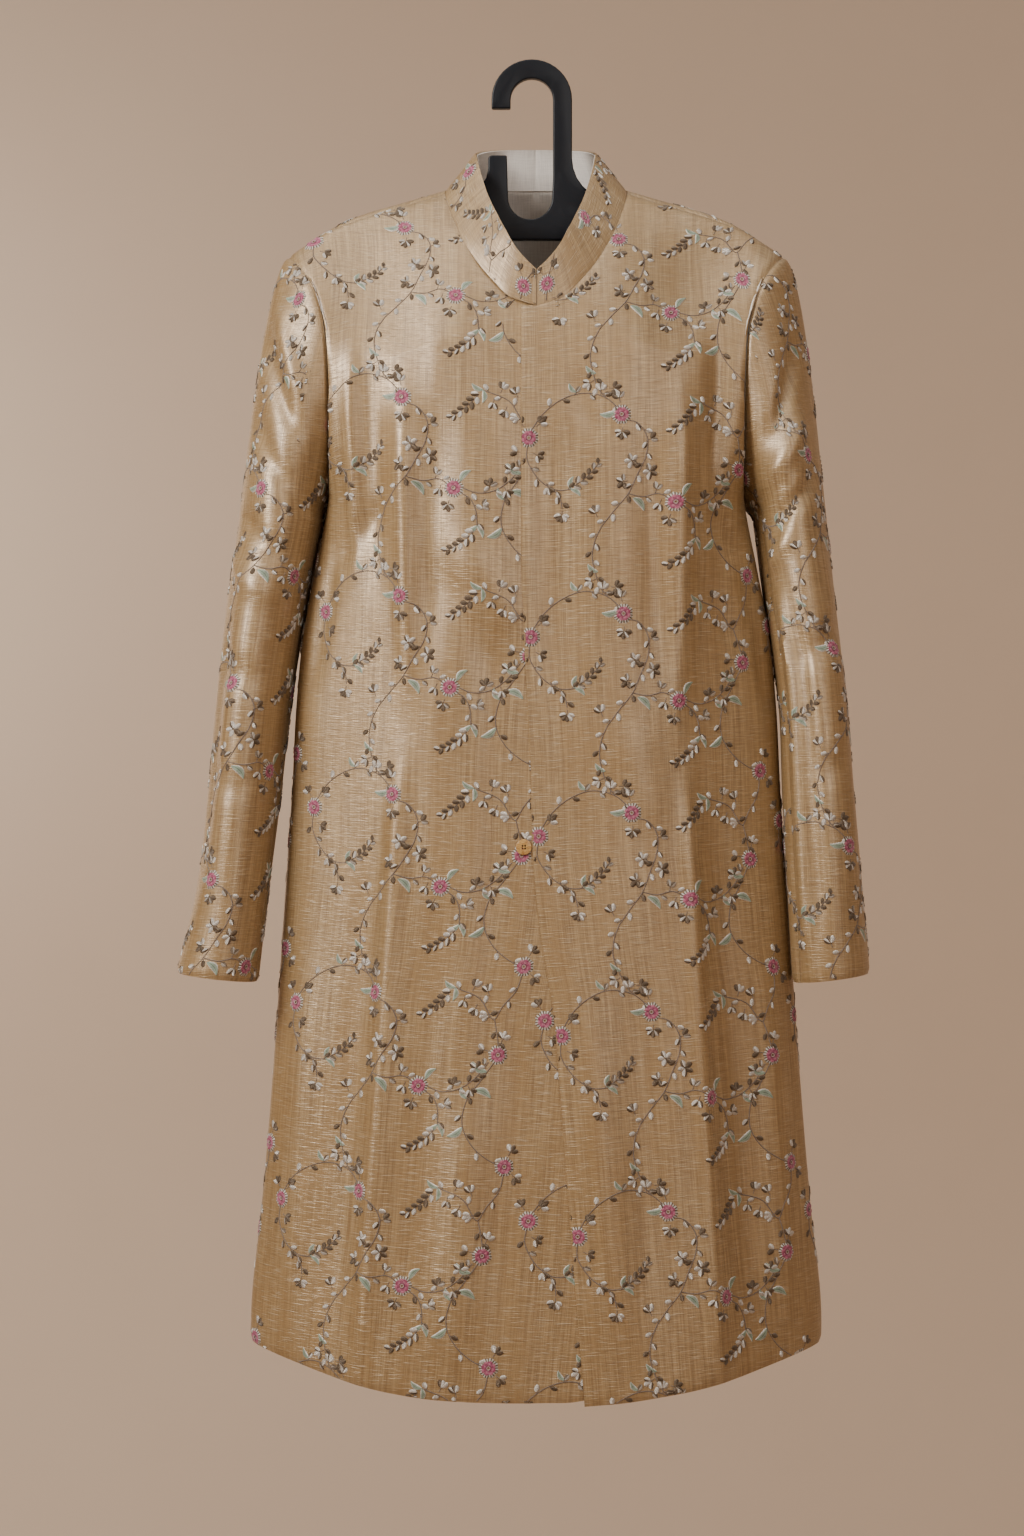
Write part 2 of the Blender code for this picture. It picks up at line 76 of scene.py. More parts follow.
COAT_X = 0.004  # the coat's centre line, from the hook's
GAP = 0.0003  # between pieces that meet
UNDERARM_Z = -0.395
HEM_CENTRE_Z, HEM_SIDE_Z, HEM_BACK_Z = -1.230, -1.187, -1.206
FLAT_FRONT = 0.085  # half the flat middle of the front and of the back
SIDE_TURN = 0.045  # how far from the side seam a row turns
RIDGE_DEPTH = 0.013  # how far the pressed ridge lies behind the flat middle

UNDERLAP = 0.035
LAYER = 0.0026  # between the faces of the lapped fronts
STEP_START, STEP_END = 0.055, 0.030  # where the right front steps behind the left one's edge
UNDER_HEM_RISE = 0.008

Level = namedtuple("Level", "z half_width front back ridge_x")
BODY = (
    Level(-1.230, 0.2650, -0.130, 0.122, 0.164),
    Level(-1.160, 0.2670, -0.129, 0.119, 0.159),
    Level(-1.060, 0.2570, -0.126, 0.112, 0.151),
    Level(-0.920, 0.2455, -0.121, 0.103, 0.143),
    Level(-0.780, 0.2360, -0.115, 0.094, 0.135),
    Level(-0.680, 0.2290, -0.111, 0.088, 0.131),
    Level(-0.590, 0.2245, -0.109, 0.084, 0.129),
    Level(-0.530, 0.2188, -0.108, 0.085, 0.130),
    Level(-0.460, 0.2058, -0.108, 0.089, 0.134),
    Level(-0.395, 0.1930, -0.107, 0.094, 0.139),
    Level(-0.300, 0.1900, -0.102, 0.101, 0.144),
    Level(-0.226, 0.2000, -0.088, 0.098, 0.146),
    Level(-0.182, 0.2150, -0.068, 0.088, 0.150),
    Level(-0.131, 0.2300, -0.030, 0.072, 0.150),
    Level(-0.096, 0.2300, 0.004, 0.058, 0.150),
)

Edge = namedtuple("Edge", "z x")
OPENING = (
    Edge(-1.230, 0.043),
    Edge(-1.090, 0.032),
    Edge(-0.950, 0.021),
    Edge(-0.860, 0.013),
    Edge(-0.820, 0.006),
    Edge(-0.730, -0.004),
    Edge(-0.640, -0.006),
    Edge(-0.530, -0.012),
    Edge(-0.226, -0.0145),
)

Neck = namedtuple("Neck", "x y z top_x top_y top_z")
NECK = (
    Neck(0.0000, -0.088, -0.2265, 0.0000, -0.084, -0.1925),
    Neck(0.0245, -0.086, -0.2180, 0.0107, -0.082, -0.1820),
    Neck(0.0385, -0.080, -0.2040, 0.0208, -0.078, -0.1690),
    Neck(0.0557, -0.068, -0.1824, 0.0292, -0.070, -0.1530),
    Neck(0.0700, -0.052, -0.1567, 0.0355, -0.057, -0.1390),
    Neck(0.0800, -0.030, -0.1310, 0.0465, -0.034, -0.1120),
    Neck(0.0860, -0.006, -0.1080, 0.0560, -0.005, -0.0760),
    Neck(0.0780, 0.030, -0.1005, 0.0560, 0.026, -0.0640),
    Neck(0.0450, 0.052, -0.0970, 0.0340, 0.047, -0.0580),
    Neck(0.0000, 0.058, -0.0960, 0.0000, 0.054, -0.0565),
)
NECK_POINT = 6

TIP_Y, TIP_Z = -0.010, -0.170
TIP_OUT, TIP_FADE = 0.0430, 0.038  # how far the shoulder tip stands out, and how soon that ends
ARMHOLE_X = 0.190
ARMHOLE_SLANT = 0.003
ARMHOLE_FRONT, ARMHOLE_BACK = 0.062, 0.060
SHOULDER_BEND = (0.190, -0.020, -0.142)
SHOULDER_LIFT = 0.004
BEND_SHARE, BEND_RISE, BEND_SETBACK = 0.62, 0.020, 0.6  # of a row's bend over the chest

Ring = namedtuple("Ring", "z inner outer middle depth")
SLEEVES = {
    "right": (
        Ring(-0.420, 0.1995, 0.2800, -0.002, 0.073),
        Ring(-0.490, 0.2140, 0.2900, -0.006, 0.071),
        Ring(-0.587, 0.2296, 0.3005, -0.013, 0.066),
        Ring(-0.681, 0.2400, 0.3085, -0.022, 0.058),
        Ring(-0.776, 0.2515, 0.3190, -0.033, 0.052),
        Ring(-0.845, 0.2590, 0.3350, -0.042, 0.047),
    ),
    "left": (
        Ring(-0.420, 0.2050, 0.2735, -0.006, 0.074),
        Ring(-0.490, 0.2135, 0.2800, -0.015, 0.072),
        Ring(-0.587, 0.2262, 0.2890, -0.034, 0.063),
        Ring(-0.681, 0.2295, 0.2960, -0.043, 0.057),
        Ring(-0.776, 0.2340, 0.3035, -0.051, 0.051),
        Ring(-0.845, 0.2375, 0.3090, -0.055, 0.046),
    ),
}
CUFF_SLOPE = 0.009
FOREARM_SEAM = {"right": math.radians(170), "left": math.radians(152)}
HIND_SEAM = math.radians(-138)
SEAM_TURN = 0.004  # half the gap at a sleeve's seam, as an angle
CAP_REACH = (0.060, 0.012, 0.030)  # how the cap leaves the armhole: out, across and down
CAP_LEAST, CAP_FALL = 0.25, 0.02
ARM_REACH, ARM_LEAST, ARM_LEAN = 0.20, 0.12, 0.11  # how the cap comes into the arm
MIRROR = np.array([-1, 1, 1])

EDGE_STEP, SEAM_STEP = 0.004, 0.009  # spacing beside a long edge and a short one, as shares of the row

# ---------------------------------------------------------------- curves


def hermite(start, leave, end, arrive, t):
    """From start to end, setting off along leave and coming in along arrive."""
    first = (1 + 2 * t) * (1 - t) ** 2 * start + t * (1 - t) ** 2 * leave
    return first + t * t * (3 - 2 * t) * end + t * t * (t - 1) * arrive


def through(places, values, at):
    """The smooth curve through these values at rising places, read at one place."""
    places = np.asarray(places, float)
    values = np.asarray(values, float)
    at = min(max(at, places[0]), places[-1])
    slopes = np.gradient(values, places, axis=0)
    k = min(int(np.searchsorted(places, at, side="right")) - 1, len(places) - 2)
    span = places[k + 1] - places[k]
    t = (at - places[k]) / span
    return hermite(values[k], span * slopes[k], values[k + 1], span * slopes[k + 1], t)


def column(table, name, z):
    """One column of a table of heights, read at height z."""
    return through([row.z for row in table], [getattr(row, name) for row in table], z)


def rounded(corners, share=0.8):
    """A polyline through the corners, each inner one rounded over this share of its half legs."""
    corners = [np.asarray(corner, float) for corner in corners]
    line = [corners[0]]
    for before, corner, after in zip(corners, corners[1:], corners[2:]):
        start = corner + (before - corner) * share / 2
        end = corner + (after - corner) * share / 2
        for t in np.linspace(0, 1, 17):
            line.append((1 - t) ** 2 * start + 2 * t * (1 - t) * corner + t * t * end)
    line.append(corners[-1])
    return np.array(line)


def run_sum(steps, axis=0):
    """The sums of these steps along an axis, from 0."""
    return np.concatenate([np.zeros_like(steps.take([0], axis)), np.cumsum(steps, axis)], axis)


def lengths(line, axis=0):
    """How far along the polyline each of its points lies, or each point of rows along an axis."""
    return run_sum(np.linalg.norm(np.diff(line, axis=axis), axis=-1), axis)


def at_shares(line, shares):
    """The points at these shares of the polyline's length."""
    run = lengths(line)
    return np.stack([np.interp(np.asarray(shares) * run[-1], run, line[:, k]) for k in range(3)], -1)


def edge_shares(count, step=EDGE_STEP):
    """count + 1 shares from 0 to 1, closer together at both ends, where an edge is turned."""
    inner = np.linspace(0, 1, count - 3)[1:-1]
    return np.concatenate([[0, step, 2.2 * step], inner, [1 - 2.2 * step, 1 - step, 1]])


def evenly(line, count):
    return at_shares(line, edge_shares(count))


def smoothstep(start, end, value):
    t = np.clip((np.asarray(value, float) - start) / (end - start), 0, 1)
    return t * t * (3 - 2 * t)


def mix(a, b, t):
    return np.asarray(a, float) * (1 - t) + np.asarray(b, float) * t


# ---------------------------------------------------------------- the form


def armhole(angle):
    """A point on the armhole: angle 0 is the shoulder tip, pi/2 the front, pi the underarm."""
    height = (TIP_Z - UNDERARM_Z) / 2
    drop = height * (1 - math.cos(angle))
    reach = ARMHOLE_FRONT if math.sin(angle) > 0 else ARMHOLE_BACK
    x = ARMHOLE_X + TIP_OUT * math.exp(-drop / TIP_FADE) + ARMHOLE_SLANT * (drop / height / 2) ** 2
    y = -reach * math.sin(angle) + TIP_Y * (1 - drop / height / 2)
    return np.array([x, y, TIP_Z - drop])


def armhole_line(sign):
    """The armhole from the underarm up to the tip: sign 1 by the front and -1 by the back."""
    return np.array([armhole(sign * math.pi * (1 - t)) for t in np.linspace(0, 1, 121)])


def neckline(row, top=0.0):
    """A point round the neckline at this row of NECK, or up the collar towards its top edge."""
    points = [mix((n.x, n.y, n.z), (n.top_x, n.top_y, n.top_z), top) for n in NECK]
    return through(range(len(NECK)), points, row)


def neckline_line(first, last):
    return np.array([neckline(row) for row in np.linspace(first, last, 81)])


def opening_x(z):
    return column(OPENING, "x", z)


def right_edge_x(z):
    """The hidden edge of the right front, seen from its own side."""
    return -(opening_x(z) + UNDERLAP)


def bowed(z_centre, z_side, x, half_width):
    """The height of a row at x, which sags between the side seams."""
    return z_side + (z_centre - z_side) * (1 - (x / half_width) ** 2)


def lower_row(down, face, start_x, hem_centre):
    """A row of the body below the underarm, from start_x round to the side seam."""
    z_side = UNDERARM_Z + (HEM_SIDE_Z - UNDERARM_Z) * down
    z_centre = UNDERARM_Z + (hem_centre - UNDERARM_Z) * down
    side = column(BODY, "half_width", z_side)
    ridge = column(BODY, "ridge_x", z_centre)
    sign = -1 if face == "front" else 1
    flat_y = column(BODY, face, z_centre)
    places = (
        (start_x, flat_y),
        (FLAT_FRONT, flat_y),
        (ridge, flat_y - sign * RIDGE_DEPTH),
        (side, sign * SIDE_TURN),
        (side, sign * GAP / 2),
    )
    return rounded([(x, y, bowed(z_centre, z_side, x, side)) for x, y in places])


def upper_row(start, share, end, face, high):
    """A row of the body above the underarm, from a point on the centre or neckline to one on the
    armhole."""
    sign = -1 if face == "front" else 1
    middle = mix(start, end, BEND_SHARE)
    if face == "back":
        early = smoothstep(-0.4, 0.2, high - 0.2)
        middle[2] += BEND_RISE * early + SHOULDER_LIFT * math.sin(math.pi * high)
    else:
        middle[2] += BEND_RISE * high
    plane = column(BODY, face, middle[2]) - sign * RIDGE_DEPTH * BEND_SETBACK
    middle[1] = plane * (1 - high) + SHOULDER_BEND[1] * high
    if high > 0:
        middle = mix(middle, SHOULDER_BEND, high**2)
    turn = end + np.array([0, sign * SIDE_TURN * (1 - share) ** 3, 0])
    corners = [start, middle, turn, end]
    if start[0] < FLAT_FRONT - 0.01:
        knee = mix(start, middle, (FLAT_FRONT - start[0]) / (middle[0] - start[0]))
        knee[1] = column(BODY, face, knee[2]) * (1 - high) + knee[1] * high
        corners.insert(1, knee)
    return rounded(corners)


def ease_in(rows, below, lower_line):
    """Rows above the underarm, eased over the first ones into the form of the row below them."""
    rows = np.array(rows)
    off = lower_line - rows[0]
    fade = 1 - smoothstep(0, below, np.arange(len(rows)))
    return rows + off * fade[:, None, None]


def upper_shares(corner_share, below, above):
    """For each row above the underarm, its share of the way to the shoulder seam and of the way from
    the neck's lowest point."""
    shares = [(corner_share * k / below, 0) for k in range(below)]
    return shares + [(mix(corner_share, 1, high), high) for high in edge_shares(above, SEAM_STEP)]


def body_rows(face, edge_x, hem_centre, counts, columns):
    """Rows of a front, or of the back's +X half, from the hem up. counts are the rows below the
    underarm, from there to the neck's lowest point, and on to the shoulder seam."""
    lower, below, above = counts
    drop = hem_centre - UNDERARM_Z
    rows = [
        evenly(lower_row(down, face, edge_x(UNDERARM_Z + drop * down), hem_centre), columns)
        for down in 1 - edge_shares(lower, EDGE_STEP / 3)
    ]
    first = 0 if face == "front" else len(NECK) - 1
    corners = [(edge_x(z), column(BODY, face, z), z) for z in (UNDERARM_Z, NECK[first].z)]
    edge = np.vstack([corners, neckline_line(first, NECK_POINT)])
    corner_share = lengths(edge)[1] / lengths(edge)[-1]
    hole = armhole_line(1 if face == "front" else -1)
    upper = []
    for share, high in upper_shares(corner_share, below, above):
        start = at_shares(edge, share)
        if high == 0:
            start[:2] = edge_x(start[2]), column(BODY, face, start[2])
        upper.append(evenly(upper_row(start, share, at_shares(hole, share), face, high), columns))
    return np.concatenate([rows[:-1], ease_in(upper, below, rows[-1])])


def step_back(rows):
    """The right front's rows, moved behind the left front where they overlap, the hem lifted there."""
    rows = rows.copy()
    edge = np.array([[opening_x(row[0, 2])] for row in rows])
    past_edge = -rows[..., 0] - edge
    rows[..., 1] += LAYER * smoothstep(-STEP_START, -STEP_END, past_edge)
    near_hem = smoothstep(-1.15, -1.23, rows[..., 2])
    rows[..., 2] += UNDER_HEM_RISE * near_hem * smoothstep(-0.02, UNDERLAP, past_edge)
    return rows


def sleeve_rows(rings, first, last, counts, columns):
    """Rows of a sleeve piece from the cuff up to the armhole, between two angles round the arm."""
    arm, cap = counts
    angles = mix(first, last, edge_shares(columns))
    cosine, sine = np.cos(angles), np.sin(angles)
    table = sorted(rings)

    def ring(z):
        inner, outer = column(table, "inner", z), column(table, "outer", z)
        low = (z - rings[0].z) / (rings[-1].z - rings[0].z)
        x = (inner + outer) / 2 + (outer - inner) / 2 * cosine
        y = column(table, "middle", z) - column(table, "depth", z) * sine
        return np.stack([x, y, z + CUFF_SLOPE * low**4 * cosine / 2], -1)

    rows = [ring(mix(rings[-1].z, rings[0].z, share)) for share in edge_shares(arm, EDGE_STEP)]
    hole = np.array([armhole(angle) for angle in (angles + math.pi) % (2 * math.pi) - math.pi])
    out, across, down = CAP_REACH
    high = (1 + cosine) / 2
    leave = np.stack([out * mix(CAP_LEAST, 1, high), -across * sine, -down - CAP_FALL * (1 - high)], -1)
    span = ARM_REACH * mix(ARM_LEAST, 1, high**0.8)
    arrive = np.stack([ARM_LEAN * cosine * span, 0 * span, -span], -1)
    for t in 1 - edge_shares(cap, SEAM_STEP)[1:]:
        rows.append(hermite(hole, leave, rows[arm], arrive, t))
    return np.array(rows)


def collar_rows(count, columns):
    """Rows of the collar's +X half from the neckline up, from the front edge to the centre back."""
    rows = []
    for k in range(count + 1):
        line = np.array([neckline(row, k / count) for row in np.linspace(0, len(NECK) - 1, 121)])
        rows.append(evenly(line, columns))
    rows = np.array(rows)
    rows[:, 0, 0] = GAP
    rows[:, -1, 0] = 0
    return rows


# ---------------------------------------------------------------- flat cloth


def flatten(rows, start_s):
    """The flat place of each point of a piece: s across the grain from start_s, and t along it."""
    s = start_s[:, None] + lengths(rows[..., :2], 1)
    return s, along_grain(rows, s)


def along_grain(rows, s):
    """How far along the grain each point lies, from its column's height in the first row."""
    step = np.linalg.norm(np.diff(rows, axis=0), axis=2)
    rise = np.sqrt(np.maximum(step**2 - np.diff(s, axis=0) ** 2, (0.3 * step) ** 2))
    return rows[:1, :, 2] + run_sum(rise)


def flatten_sleeve(rows, arm, start):
    """The same for a sleeve piece, with s = 0 down its start column. Over the cap, s keeps the
    directions of the ring of the arm at the cap's foot."""
    s = flatten(rows, np.zeros(len(rows)))[0]
    s = s - s[:, start : start + 1]
    round_arm = np.gradient(rows[arm, :, :2], axis=0)
    round_arm /= np.linalg.norm(round_arm, axis=1, keepdims=True)
    s[arm:] = s[arm] + ((rows[arm:, :, :2] - rows[arm, :, :2]) * round_arm).sum(-1)
    return s, along_grain(rows, s)


def flatten_band(rows):
    """The same for the collar: s along its lower edge and t up from it."""
    return lengths(rows[:1], 1) + np.zeros((len(rows), 1)), lengths(rows)


def normals(rows):
    """The outward normal at each point of a piece whose rows run round the coat from its front."""
    along = np.gradient(rows, axis=1)
    up = np.gradient(rows, axis=0)
    out = np.cross(along, up)
    return out / np.maximum(np.linalg.norm(out, axis=2, keepdims=True), 1e-12)


UNDERARM_REACH = 12  # rows on each side of the underarm over which the body's form is eased
SEAM_HELD = (0.80, 0.97)  # where across a row that easing ends, before the side seam


def soften(rows, row):
    """Rows eased through the bend at one row. The last columns, at the side seam, stay."""
    low, high = row - UNDERARM_REACH, row + UNDERARM_REACH
    span = 2 * UNDERARM_REACH
    held = smoothstep(*SEAM_HELD, np.linspace(0, 1, rows.shape[1]))[None, :, None]
    t = np.linspace(0, 1, span + 1)[:, None, None]
    leave = (rows[low] - rows[low - 1]) * span
    arrive = (rows[high + 1] - rows[high]) * span
    eased = hermite(rows[low], leave, rows[high], arrive, t)
    rows = rows.copy()
    rows[low : high + 1] = mix(eased, rows[low : high + 1], held)
    return rows


# A fold: a trough or ridge along a line between two flat places, with its width and its depth
# (below zero for a trough), and how much of its length fades out at each end.
Fold = namedtuple("Fold", "s1 t1 s2 t2 width depth fade", defaults=(0.35,))
FOLD_DEPTH = 1.7  # how much deeper the folds hang than their tables say


def fold_height(folds, s, t):
    """How far these folds lift the cloth at each flat place."""
    total = np.zeros_like(s)
    for fold in folds:
        ds, dt = fold.s2 - fold.s1, fold.t2 - fold.t1
        long = math.hypot(ds, dt)
        run = ((s - fold.s1) * ds + (t - fold.t1) * dt) / long**2
        off = ((s - fold.s1) * dt - (t - fold.t1) * ds) / long
        ends = smoothstep(0, fold.fade, run) * smoothstep(1, 1 - fold.fade, run)
        total += FOLD_DEPTH * fold.depth * np.exp(-((off / fold.width) ** 2)) * ends
    return total


def edge_distances(rows):
    """How far each point of a piece lies from its first column, and from its nearest other edge."""
    s, t = lengths(rows, 1), lengths(rows)
    return s, np.minimum(s[:, -1:] - s, np.minimum(t, t[-1:] - t))


# How far a lapped edge and a seamed one turn in, and over what width
LAP_DROP, SEAM_DROP, EDGE_ROLL = 0.0006, 0.0016, 0.0030
SEARCH_STEPS, SEARCH_SHARE, SEARCH_REACH = 24, 0.8, 2  # finding the row and column of a flat place
EDGE_MARGIN, GAP_MARGIN = 0.2, 0.7  # kept free beside an edge and the open strip, in columns or rows
PLACE_ERROR = 0.0005
COVER_MARGIN = 0.001


class Cloth:
    """A cloth piece's fine surface: its rows, its flat places and its outward normals. Above the row
    gap, the middle strip of faces is open. Where covered(points) holds, another piece lies on it."""

    def __init__(self, rows, flat, folds=(), side=1, lean=None, gap=None, drops=(SEAM_DROP, SEAM_DROP)):
        self.side, self.gap, self.covered = side, gap, None
        self.s, self.t = flat
        distances = edge_distances(rows)
        turned = [drop * np.exp(-((far / EDGE_ROLL) ** 2)) for drop, far in zip(drops, distances)]
        lift = fold_height(folds, self.s, self.t) - np.maximum(*turned)
        rows = rows + normals(rows) * lift[..., None]
        if lean is not None:
            self.s, self.t = self.s - lean(self.t), self.t - GRAIN_TILT * self.s
        if side < 0:
            rows = rows * MIRROR
            self.s = -self.s
        self.rows = rows + np.array([COAT_X, 0, 0])
        self.normals = normals(self.rows) * side

    def sample(self, table, r, c):
        """A table of this piece's points, read between its rows and columns."""
        r0 = np.clip(np.floor(r).astype(int), 0, table.shape[0] - 2)
        c0 = np.clip(np.floor(c).astype(int), 0, table.shape[1] - 2)
        fr, fc = r - r0, c - c0
        if table.ndim == 3:
            fr, fc = fr[:, None], fc[:, None]
        low = table[r0, c0] * (1 - fc) + table[r0, c0 + 1] * fc
        high = table[r0 + 1, c0] * (1 - fc) + table[r0 + 1, c0 + 1] * fc
        return low * (1 - fr) + high * fr

    def place(self, flat, height):
        """Points a height above the cloth at flat places, and which of them are on the piece."""
        last_r, last_c = self.s.shape[0] - 1, self.s.shape[1] - 1
        middle = self.t[:, last_c // 2]
        r = np.interp(flat[:, 1], middle, np.arange(last_r + 1))
        # Start from the nearest row, because the columns are of uneven width.
        c = np.zeros(len(flat))
        rise = np.sign(self.s[0, -1] - self.s[0, 0])
        nearest = np.round(r).astype(int)
        for row in np.unique(nearest):
            here = nearest == row
            c[here] = np.interp(rise * flat[here, 0], rise * self.s[row], np.arange(last_c + 1))
        ds = np.gradient(self.s, axis=1)
        dt = np.gradient(self.t, axis=0)
        for _ in range(SEARCH_STEPS):
            off_s = flat[:, 0] - self.sample(self.s, r, c)
            off_t = flat[:, 1] - self.sample(self.t, r, c)
            step = np.clip(SEARCH_SHARE * off_s / self.sample(ds, r, c), -SEARCH_REACH, SEARCH_REACH)
            c = np.clip(c + step, -1, last_c + 1)
            r = np.clip(r + SEARCH_SHARE * off_t / self.sample(dt, r, c), -1, last_r + 1)
        inside = (r > EDGE_MARGIN) & (r < last_r - EDGE_MARGIN)
        inside &= (c > EDGE_MARGIN) & (c < last_c - EDGE_MARGIN)
        inside &= (np.abs(off_s) < PLACE_ERROR) & (np.abs(off_t) < PLACE_ERROR)
        if self.gap is not None:
            inside &= (r < self.gap - EDGE_MARGIN) | (np.abs(c - last_c / 2) > GAP_MARGIN)
        r, c = np.clip(r, 0, last_r), np.clip(c, 0, last_c)
        point = self.sample(self.rows, r, c) + self.sample(self.normals, r, c) * height[:, None]
        if self.covered is not None:
            inside &= ~self.covered(point)
        return point, inside


# How fine each piece's grid is: rows from the hem or the cuff up, part by part, and columns
FRONT_COUNTS, BACK_COUNTS, SLEEVE_COUNTS = (150, 36, 30), (120, 40, 24), (84, 50)
FRONT_COLUMNS, UNDERLAP_COLUMNS, BACK_COLUMNS = 66, 8, 44
TOP_SLEEVE_COLUMNS, UNDER_SLEEVE_COLUMNS = 60, 22
COLLAR_COUNTS = (10, 90)
GRAIN_TILT = 0.05  # how steeply the fronts' grain rises outwards
LAPPED = 0.06  # how far out a fold of the left front still crosses the right one
BACK_FOLD_SHIFT, BACK_FOLD_LEAN = 0.02, 0.94  # how the back's second half differs from its first

# Folds of the left front: across from the centre line, and height
LEFT_FOLDS = (
    Fold(0.012, -0.28, 0.020, -0.62, 0.022, -0.0030),
    Fold(0.135, -0.25, 0.132, -0.64, 0.012, 0.0034),
    Fold(0.104, -0.27, 0.110, -0.60, 0.018, -0.0028),
    Fold(0.172, -0.22, 0.168, -0.42, 0.012, -0.0040),
    Fold(0.136, -0.62, 0.170, -1.24, 0.010, 0.0040, 0.2),
    Fold(0.166, -0.66, 0.208, -1.24, 0.018, -0.0030, 0.3),
    Fold(0.085, -0.75, 0.112, -1.20, 0.024, -0.0030),
    Fold(0.042, -0.84, 0.075, -1.22, 0.020, 0.0026),
    Fold(0.225, -0.80, 0.250, -1.20, 0.018, 0.0030),
    Fold(0.030, -0.28, 0.062, -0.36, 0.014, -0.0020),
    Fold(0.075, -0.60, 0.120, -0.72, 0.020, 0.0016),
    Fold(0.205, -0.44, 0.235, -0.62, 0.012, -0.0026),
    Fold(0.150, -0.40, 0.215, -0.47, 0.013, -0.0026),
    Fold(0.140, -0.46, 0.210, -0.55, 0.012, -0.0020),
)
# Folds of the right front
RIGHT_FOLDS = (
    Fold(0.040, -0.26, 0.052, -0.60, 0.026, 0.0030),
    Fold(0.094, -0.27, 0.100, -0.60, 0.015, -0.0030),
    Fold(0.126, -0.26, 0.118, -0.62, 0.010, 0.0036),
    Fold(0.158, -0.25, 0.150, -0.52, 0.014, -0.0030),
    Fold(0.174, -0.24, 0.176, -0.50, 0.008, 0.0030),
    Fold(0.122, -0.60, 0.166, -1.24, 0.010, 0.0042, 0.2),
    Fold(0.150, -0.66, 0.202, -1.24, 0.018, -0.0034, 0.3),
    Fold(0.088, -0.70, 0.118, -1.22, 0.022, -0.0026),
    Fold(0.040, -0.66, 0.048, -0.98, 0.012, -0.0020),
    Fold(0.018, -0.80, 0.030, -1.21, 0.020, -0.0022),
    Fold(0.060, -0.92, 0.078, -1.22, 0.018, 0.0030),
    Fold(0.220, -0.78, 0.246, -1.20, 0.018, 0.0030),
    Fold(0.110, -0.44, 0.016, -0.60, 0.020, -0.0026),
    Fold(0.085, -0.43, 0.000, -0.54, 0.016, 0.0018),
    Fold(0.196, -0.42, 0.228, -0.60, 0.012, -0.0028),
    Fold(0.140, -0.40, 0.205, -0.47, 0.012, -0.0024),
)
BACK_FOLDS = (
    Fold(0.070, -0.26, 0.060, -0.60, 0.028, 0.0034),
    Fold(0.135, -0.24, 0.120, -0.62, 0.018, -0.0040),
    Fold(0.165, -0.30, 0.220, -0.46, 0.014, -0.0032),
    Fold(0.110, -0.60, 0.150, -1.18, 0.020, 0.0040, 0.2),
    Fold(0.160, -0.62, 0.215, -1.18, 0.022, -0.0040, 0.3),
    Fold(0.050, -0.66, 0.070, -1.19, 0.026, -0.0034),
    Fold(0.215, -0.72, 0.250, -1.18, 0.016, 0.0030),
    Fold(0.030, -0.50, 0.110, -0.66, 0.018, -0.0024),
    Fold(0.120, -0.16, 0.190, -0.30, 0.018, -0.0024),
)
# Folds of the sleeves: s is measured round from the front of the arm, outwards
SLEEVE_FOLDS = {
    "right": (
        Fold(-0.030, -0.35, 0.080, -0.22, 0.009, -0.0034),
        Fold(-0.032, -0.32, 0.060, -0.20, 0.010, 0.0030),
        Fold(-0.030, -0.41, 0.065, -0.30, 0.010, -0.0026),
        Fold(-0.026, -0.47, 0.060, -0.40, 0.010, -0.0028),
        Fold(-0.020, -0.50, 0.075, -0.44, 0.010, 0.0022),
        Fold(-0.020, -0.58, 0.070, -0.53, 0.012, -0.0020),
        Fold(0.020, -0.40, 0.010, -0.80, 0.018, 0.0026),
        Fold(0.048, -0.46, 0.046, -0.80, 0.016, -0.0022),
        Fold(-0.010, -0.68, 0.050, -0.64, 0.012, -0.0014),
    ),
    "left": (
        Fold(-0.035, -0.36, 0.050, -0.24, 0.010, -0.0040),
        Fold(-0.040, -0.40, 0.040, -0.31, 0.010, 0.0032),
        Fold(-0.040, -0.44, 0.050, -0.36, 0.009, -0.0030),
        Fold(-0.042, -0.47, 0.000, -0.43, 0.007, 0.0026),
        Fold(-0.020, -0.56, 0.060, -0.50, 0.012, -0.0022),
        Fold(-0.026, -0.46, -0.022, -0.84, 0.007, 0.0030, 0.15),
        Fold(-0.012, -0.48, -0.010, -0.82, 0.010, -0.0022, 0.2),
        Fold(0.030, -0.40, 0.030, -0.80, 0.018, 0.0024),
        Fold(-0.010, -0.66, 0.050, -0.63, 0.012, -0.0014),
    ),
}


def lean_out(t):
    """How far the grain leans outwards from the centre line at a height: it follows the front edge."""
    table = np.array([(edge.z, edge.x - OPENING[-1].x) for edge in OPENING])
    return np.interp(t, table[:, 0], table[:, 1])


